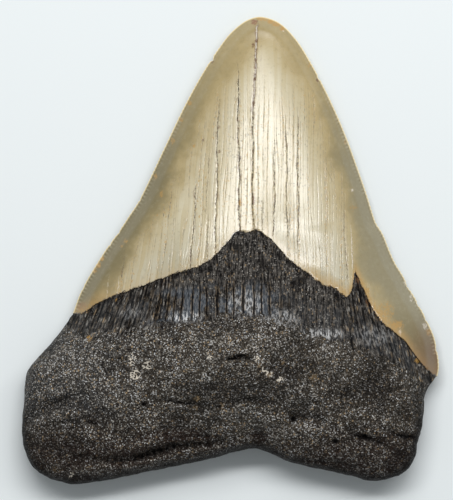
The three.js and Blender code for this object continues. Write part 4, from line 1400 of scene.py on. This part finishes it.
def root_group(specks, colours):
    """Rough brown-black root, peppered with pale, grey and tan grains and painted glints, with painted
    shade in its hollows and along its rim and a painted sheen below the neck.
    """
    web = finish_group("Root", ("Inset", "Hollow", "Relief", "Gold", "Brown", "Red", "Light"), colours)
    x, y = web.x, web.y
    cloud = web.noise(web.vector, 0.11, 3, 0.6)
    mottle = web.noise(web.vector, 0.6, 4, 0.7)
    fine = web.noise(web.vector, 2.6, 2, 0.6)
    colour = web.paint(web.tone("root"), "root_warm", web.ramp(cloud, 0.4, 0.62))
    left = web.times(web.ramp(x, -18, -42), web.ramp(y, -46, -38), 0.5)
    colour = web.paint(colour, "neck_blue", left)
    colour = web.paint(colour, "root_red", web.ramp(y, -40, -52, 0, 0.85))
    colour = web.paint(colour, "root_deep", web.ramp(fine, 0.58, 0.42, 0, 0.95))
    # Painted shade in the root's low places, by its relief
    colour = web.paint(colour, "root_deep", web.ramp(web.given["Relief"], 0.2, -1.0, 0, 0.6))
    # On the root the brown marks darken hollows to near-black as painted shade
    colour = web.marks(colour, fine, Brown="root_deep", Red="root_red", Gold="sand")
    colour = root_grains(web, specks, colour, cloud, mottle)
    bent = web.size(web.minus(web.noise(web.vector, 0.9), 0.5))
    white = web.times(web.ramp(web.given["Light"], 0.3, 0.5), web.ramp(bent, 0.03, 0.06, 1, 0))
    colour = web.paint(colour, "chip", white)
    # Painted shade inside the creases, the pits and the slit
    hollow_shade = web.times_plus(web.minus(fine, 0.5), 1.2, web.given["Hollow"])
    colour = web.paint(colour, "root_deep", web.ramp(hollow_shade, 0.3, 0.7, 0, 0.95))
    # Painted shade along the rim, strongest on the lower side that turns away from the light
    rim = web.times(web.ramp(web.given["Inset"], 0.0, 3.4, 0.9, 0), web.ramp(y, -36, -48, 0.3, 1))
    colour = web.paint(colour, "root_deep", rim)
    height = web.times_plus(mottle, 0.9, web.times(web.noise(web.vector, 2.0, 4, 0.75), 0.5))
    return web.finish(colour, web.ramp(mottle, 0.35, 0.65, 0.6, 0.42), height)


def fossil_material(colours):
    """Fossil finish: enamel, neck and root, each in its own group, joined by the tooth's own masks."""
    material = bpy.data.materials.new("fossil_enamel_and_root")
    material.use_nodes = True
    material.node_tree.nodes.clear()
    web = Web(material.node_tree, colours)
    specks, lines = speck_group(), line_group()
    position = web.add("ShaderNodeTexCoord").outputs["Object"]
    vector = web.add("ShaderNodeMapping", {"Vector": position, "Scale": (1 / MM,) * 3}).outputs[0]
    made = []
    for group in (enamel_group(specks, lines, colours), neck_group(specks, lines, colours),
                  root_group(specks, colours)):
        wanted = [item.name for item in group.interface.items_tree if item.in_out == "INPUT"]
        stored = {name: web.attribute(name.lower().replace(" ", "_")) for name in wanted[1:]}
        made.append(web.place(group, Vector=vector, **stored))
    enamel, neck, root = made
    torn = web.noise(vector, 0.7, 3, 0.6)
    on_neck = web.math("ADD", web.attribute("neck"), web.ramp(torn, 0.3, 0.7, -0.4, 0.4))
    on_neck = web.ramp(on_neck, 0.35, 0.65)
    on_crown = web.ramp(web.attribute("enamel"), 0.02, 0.3)
    colour = web.blend(on_neck, root["Color"], neck["Color"])
    colour = web.blend(on_crown, colour, enamel["Color"])

    def share(label):
        below = web.add("ShaderNodeMix", {"Factor": on_neck, 2: root[label], 3: neck[label]})
        above = web.add("ShaderNodeMix", {"Factor": on_crown, 2: below.outputs[0], 3: enamel[label]})
        return above.outputs[0]

    bump = web.add("ShaderNodeBump", {"Height": share("Height"), "Distance": MM, "Strength": 1.0})
    finish = web.add("ShaderNodeBsdfPrincipled", {
        "Base Color": colour, "Roughness": share("Roughness"), "Normal": bump.outputs[0],
        "IOR": 1.55, "Specular IOR Level": web.ramp(on_crown, 0, 1, 0.06, 0.75),
    })
    web.add("ShaderNodeOutputMaterial", {"Surface": finish.outputs[0]})
    return material


def plain_material(name, colour, rough):
    material = bpy.data.materials.new(name)
    material.use_nodes = True
    finish = material.node_tree.nodes["Principled BSDF"]
    finish.inputs["Base Color"].default_value = tuple(colour)
    finish.inputs["Roughness"].default_value = rough
    return material


def length(name, description, default):
    return FloatProperty(name=name, description=description, default=default, unit="LENGTH", min=0)


def tint(name, description, red, green, blue):
    """Colour property from the 0 to 255 values of a screen colour."""
    linear = [((value / 255 + 0.055) / 1.055) ** 2.4 for value in (red, green, blue)]
    return FloatVectorProperty(name=name, description=description, default=(*linear, 1.0), size=4,
                               subtype="COLOR", min=0, max=1)


class ToothSizes(bpy.types.PropertyGroup):
    enamel_thickness: length("Enamel thickness", "Step of the enamel over the root", 0.0005)
    serration_pitch: length("Serration pitch", "Distance between serrations", 0.00095)
    serration_depth: length("Serration depth", "Depth of the notches between serrations", 0.0002)
    root_roughness: length("Root roughness", "Height of the small lumps on the root", 0.0009)


class ToothColours(bpy.types.PropertyGroup):
    body: tint("Enamel", "Inner part of the crown", 212, 201, 170)
    pale: tint("Pale enamel", "Pale upright bands", 230, 223, 201)
    warm: tint("Warm enamel", "Upper crown and its shoulders", 186, 165, 117)
    # Grey enamel, also the painted shade low on the crown
    grey: tint("Grey enamel", "Lower crown", 183, 175, 150)
    margin: tint("Margin", "Thin enamel along the cutting edge", 128, 116, 81)
    tan: tint("Tan streak", "Upright tan streaks", 192, 164, 114)
    streak: tint("Grey streak", "Fine dark streaks", 104, 95, 76)
    stain: tint("Stain", "Brown stain beside the cracks", 116, 84, 56)
    ochre: tint("Ochre", "Yellow-brown stain", 186, 144, 76)
    chip: tint("Chip", "Fresh pale chips", 232, 222, 206)
    rust: tint("Rust", "Reddish brown stain", 140, 92, 62)
    # Painted light: the thin cutting edge glows pale, also on its side wall in shade
    thin_edge_glow: tint("Edge", "Thinnest enamel on the cutting edge", 250, 232, 184)
    crack: tint("Crack", "Dirt in the cracks", 46, 38, 30)
    neck: tint("Neck", "Dark smooth neck", 56, 54, 53)
    # Worn ridges of the neck, lighter partly as a painted sheen
    neck_ridge_sheen: tint("Neck ridge", "Worn ridges of the neck", 118, 112, 105)
    neck_blue: tint("Blue neck", "Polished blue patches of the neck", 66, 72, 79)
    root: tint("Root", "Brown-black root", 54, 51, 47)
    root_warm: tint("Warm root", "Lighter brown parts of the root", 66, 60, 52)
    root_red: tint("Red root", "Reddish lower side of the root", 41, 25, 20)
    # Near-black of the root, also its painted shade in hollows, low places and along its rim
    root_deep: tint("Deep root", "Hollows of the root", 13, 11, 11)
    root_grain: tint("Root grain", "Coarse brown grains", 104, 96, 86)
    sand: tint("Sand", "Grains of yellow-brown sand", 150, 126, 92)
    # Grey grains of the root and neck, partly standing in as painted glints
    fleck: tint("Fleck", "Grey grains", 172, 167, 159)
    grit: tint("Grit", "Tan grains", 170, 146, 114)
    # Painted highlight: white glints on the root's grains and the neck's plates
    glint: tint("Glint", "White grains and ridges", 226, 226, 226)


class StageSettings(bpy.types.PropertyGroup):
    floor: tint("Floor", "Plain pale floor", 238, 243, 244)
    sky: tint("Fill light", "Soft light from all round", 236, 241, 243)
    fill: FloatProperty(name="Fill", description="Strength of the light from all round", default=0.32)
    key_power: FloatProperty(name="Softbox", description="Power of the softbox", default=2.2, unit="POWER")
    key_distance: length("Light distance", "From the tooth to both lights", 0.75)
    key_width: length("Softbox width", "Across the tooth", 0.5)
    key_depth: length("Softbox depth", "Along the tooth", 0.3)
    key_tilt: FloatProperty(name="Softbox tilt", description="Lean of the softbox towards the point",
                            default=math.radians(30), subtype="ANGLE")
    key_turn: FloatProperty(name="Softbox turn", description="Lean of the softbox to the right",
                            default=math.radians(0), subtype="ANGLE")
    strip_power: FloatProperty(name="Strip light", description="Power of the strip light", default=2.8,
                               unit="POWER")
    strip_width: length("Strip width", "Across the tooth", 0.95)
    strip_depth: length("Strip depth", "Along the tooth", 0.1)
    strip_tilt: FloatProperty(name="Strip tilt", description="Lean of the strip light towards the point",
                              default=math.radians(22), subtype="ANGLE")
    strip_turn: FloatProperty(name="Strip turn", description="Lean of the strip light to the right",
                              default=math.radians(7.5), subtype="ANGLE")
    camera_distance: length("Camera distance", "From the cutting edge to the camera", 1.5)
    picture_height: length("Picture height", "What the picture takes in from top to bottom", 0.12625)
    centre_x: FloatProperty(name="Picture centre X", description="Middle of the picture", default=-0.00092,
                            unit="LENGTH")
    centre_y: FloatProperty(name="Picture centre Y", description="Middle of the picture", default=0.00011,
                            unit="LENGTH")


class FOSSIL_OT_tooth(bpy.types.Operator):
    """Models the tooth over the solid and gives it its fossil finish"""

    bl_idname = "fossil.tooth"
    bl_label = "Fossil tooth"

    def execute(self, context):
        tooth = model_tooth(context.scene.tooth_sizes)
        tooth.data.materials.clear()
        tooth.data.materials.append(fossil_material(context.scene.tooth_colours))
        if len(tooth.data.vertices) < FEWEST_POINTS:
            raise RuntimeError("the tooth has no surface")
        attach(tooth, "root")
        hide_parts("tooth")
        return {"FINISHED"}


class FOSSIL_OT_stage(bpy.types.Operator):
    """Adds the pale floor, the soft light and the camera"""

    bl_idname = "fossil.stage"
    bl_label = "Studio"

    def execute(self, context):
        stage = context.scene.tooth_stage
        deselect_all()
        bpy.ops.mesh.primitive_plane_add(size=FLOOR_SIZE)
        floor = context.object
        floor.name = "floor"
        floor.data.materials.append(plain_material("pale_floor", stage.floor, FLOOR_ROUGHNESS))

        world = bpy.data.worlds.new("soft_fill")
        world.use_nodes = True
        background = world.node_tree.nodes["Background"]
        background.inputs["Color"].default_value = tuple(stage.sky)
        background.inputs["Strength"].default_value = stage.fill
        context.scene.world = world

        for name, width, depth, power, away, turn, mirrored in (
            ("softbox", stage.key_width, stage.key_depth, stage.key_power, stage.key_tilt,
             stage.key_turn, False),
            ("strip_light", stage.strip_width, stage.strip_depth, stage.strip_power, stage.strip_tilt,
             stage.strip_turn, True),
        ):
            light = bpy.data.lights.new(name, "AREA")
            light.shape = "RECTANGLE"
            light.size = width
            light.size_y = depth
            light.energy = power
            lamp = bpy.data.objects.new(name, light)
            direction = (math.sin(turn), math.sin(away), math.cos(away) * math.cos(turn))
            lamp.location = [stage.key_distance * value for value in direction]
            lamp.rotation_euler = (-away, turn, 0)
            lamp.visible_glossy = mirrored
            context.collection.objects.link(lamp)

        camera = bpy.data.cameras.new("camera")
        camera.sensor_width = SENSOR_WIDTH
        camera.lens = camera.sensor_width * stage.camera_distance / stage.picture_height
        camera.clip_start = NEAREST_SEEN
        holder = bpy.data.objects.new("camera", camera)
        height = stage.camera_distance + CUTTING_EDGE_HEIGHT * MM
        holder.location = (stage.centre_x, stage.centre_y, height)
        context.collection.objects.link(holder)
        context.scene.camera = holder
        context.scene.view_settings.view_transform = "Standard"
        return {"FINISHED"}


class FOSSIL_PT_panel(bpy.types.Panel):
    """Lists the sizes, the colours and the operators"""

    bl_label = "Fossil tooth"
    bl_idname = "FOSSIL_PT_panel"
    bl_space_type = "VIEW_3D"
    bl_region_type = "UI"
    bl_category = "Tooth"

    def draw(self, context):
        layout = self.layout
        for group in (context.scene.tooth_sizes, context.scene.tooth_colours, context.scene.tooth_stage):
            column = layout.column(align=True)
            for name in group.__annotations__:
                column.prop(group, name)
        layout.operator(FOSSIL_OT_tooth.bl_idname)
        layout.operator(FOSSIL_OT_stage.bl_idname)


CLASSES = (ToothSizes, ToothColours, StageSettings, FOSSIL_OT_tooth, FOSSIL_OT_stage, FOSSIL_PT_panel)


def register():
    for kind in CLASSES:
        bpy.utils.register_class(kind)
    bpy.types.Scene.tooth_sizes = PointerProperty(type=ToothSizes)
    bpy.types.Scene.tooth_colours = PointerProperty(type=ToothColours)
    bpy.types.Scene.tooth_stage = PointerProperty(type=StageSettings)


def unregister():
    del bpy.types.Scene.tooth_stage
    del bpy.types.Scene.tooth_colours
    del bpy.types.Scene.tooth_sizes
    for kind in reversed(CLASSES):
        bpy.utils.unregister_class(kind)


def main():
    register()
    bpy.ops.fossil.tooth()
    bpy.ops.fossil.stage()


if __name__ == "__main__":
    main()
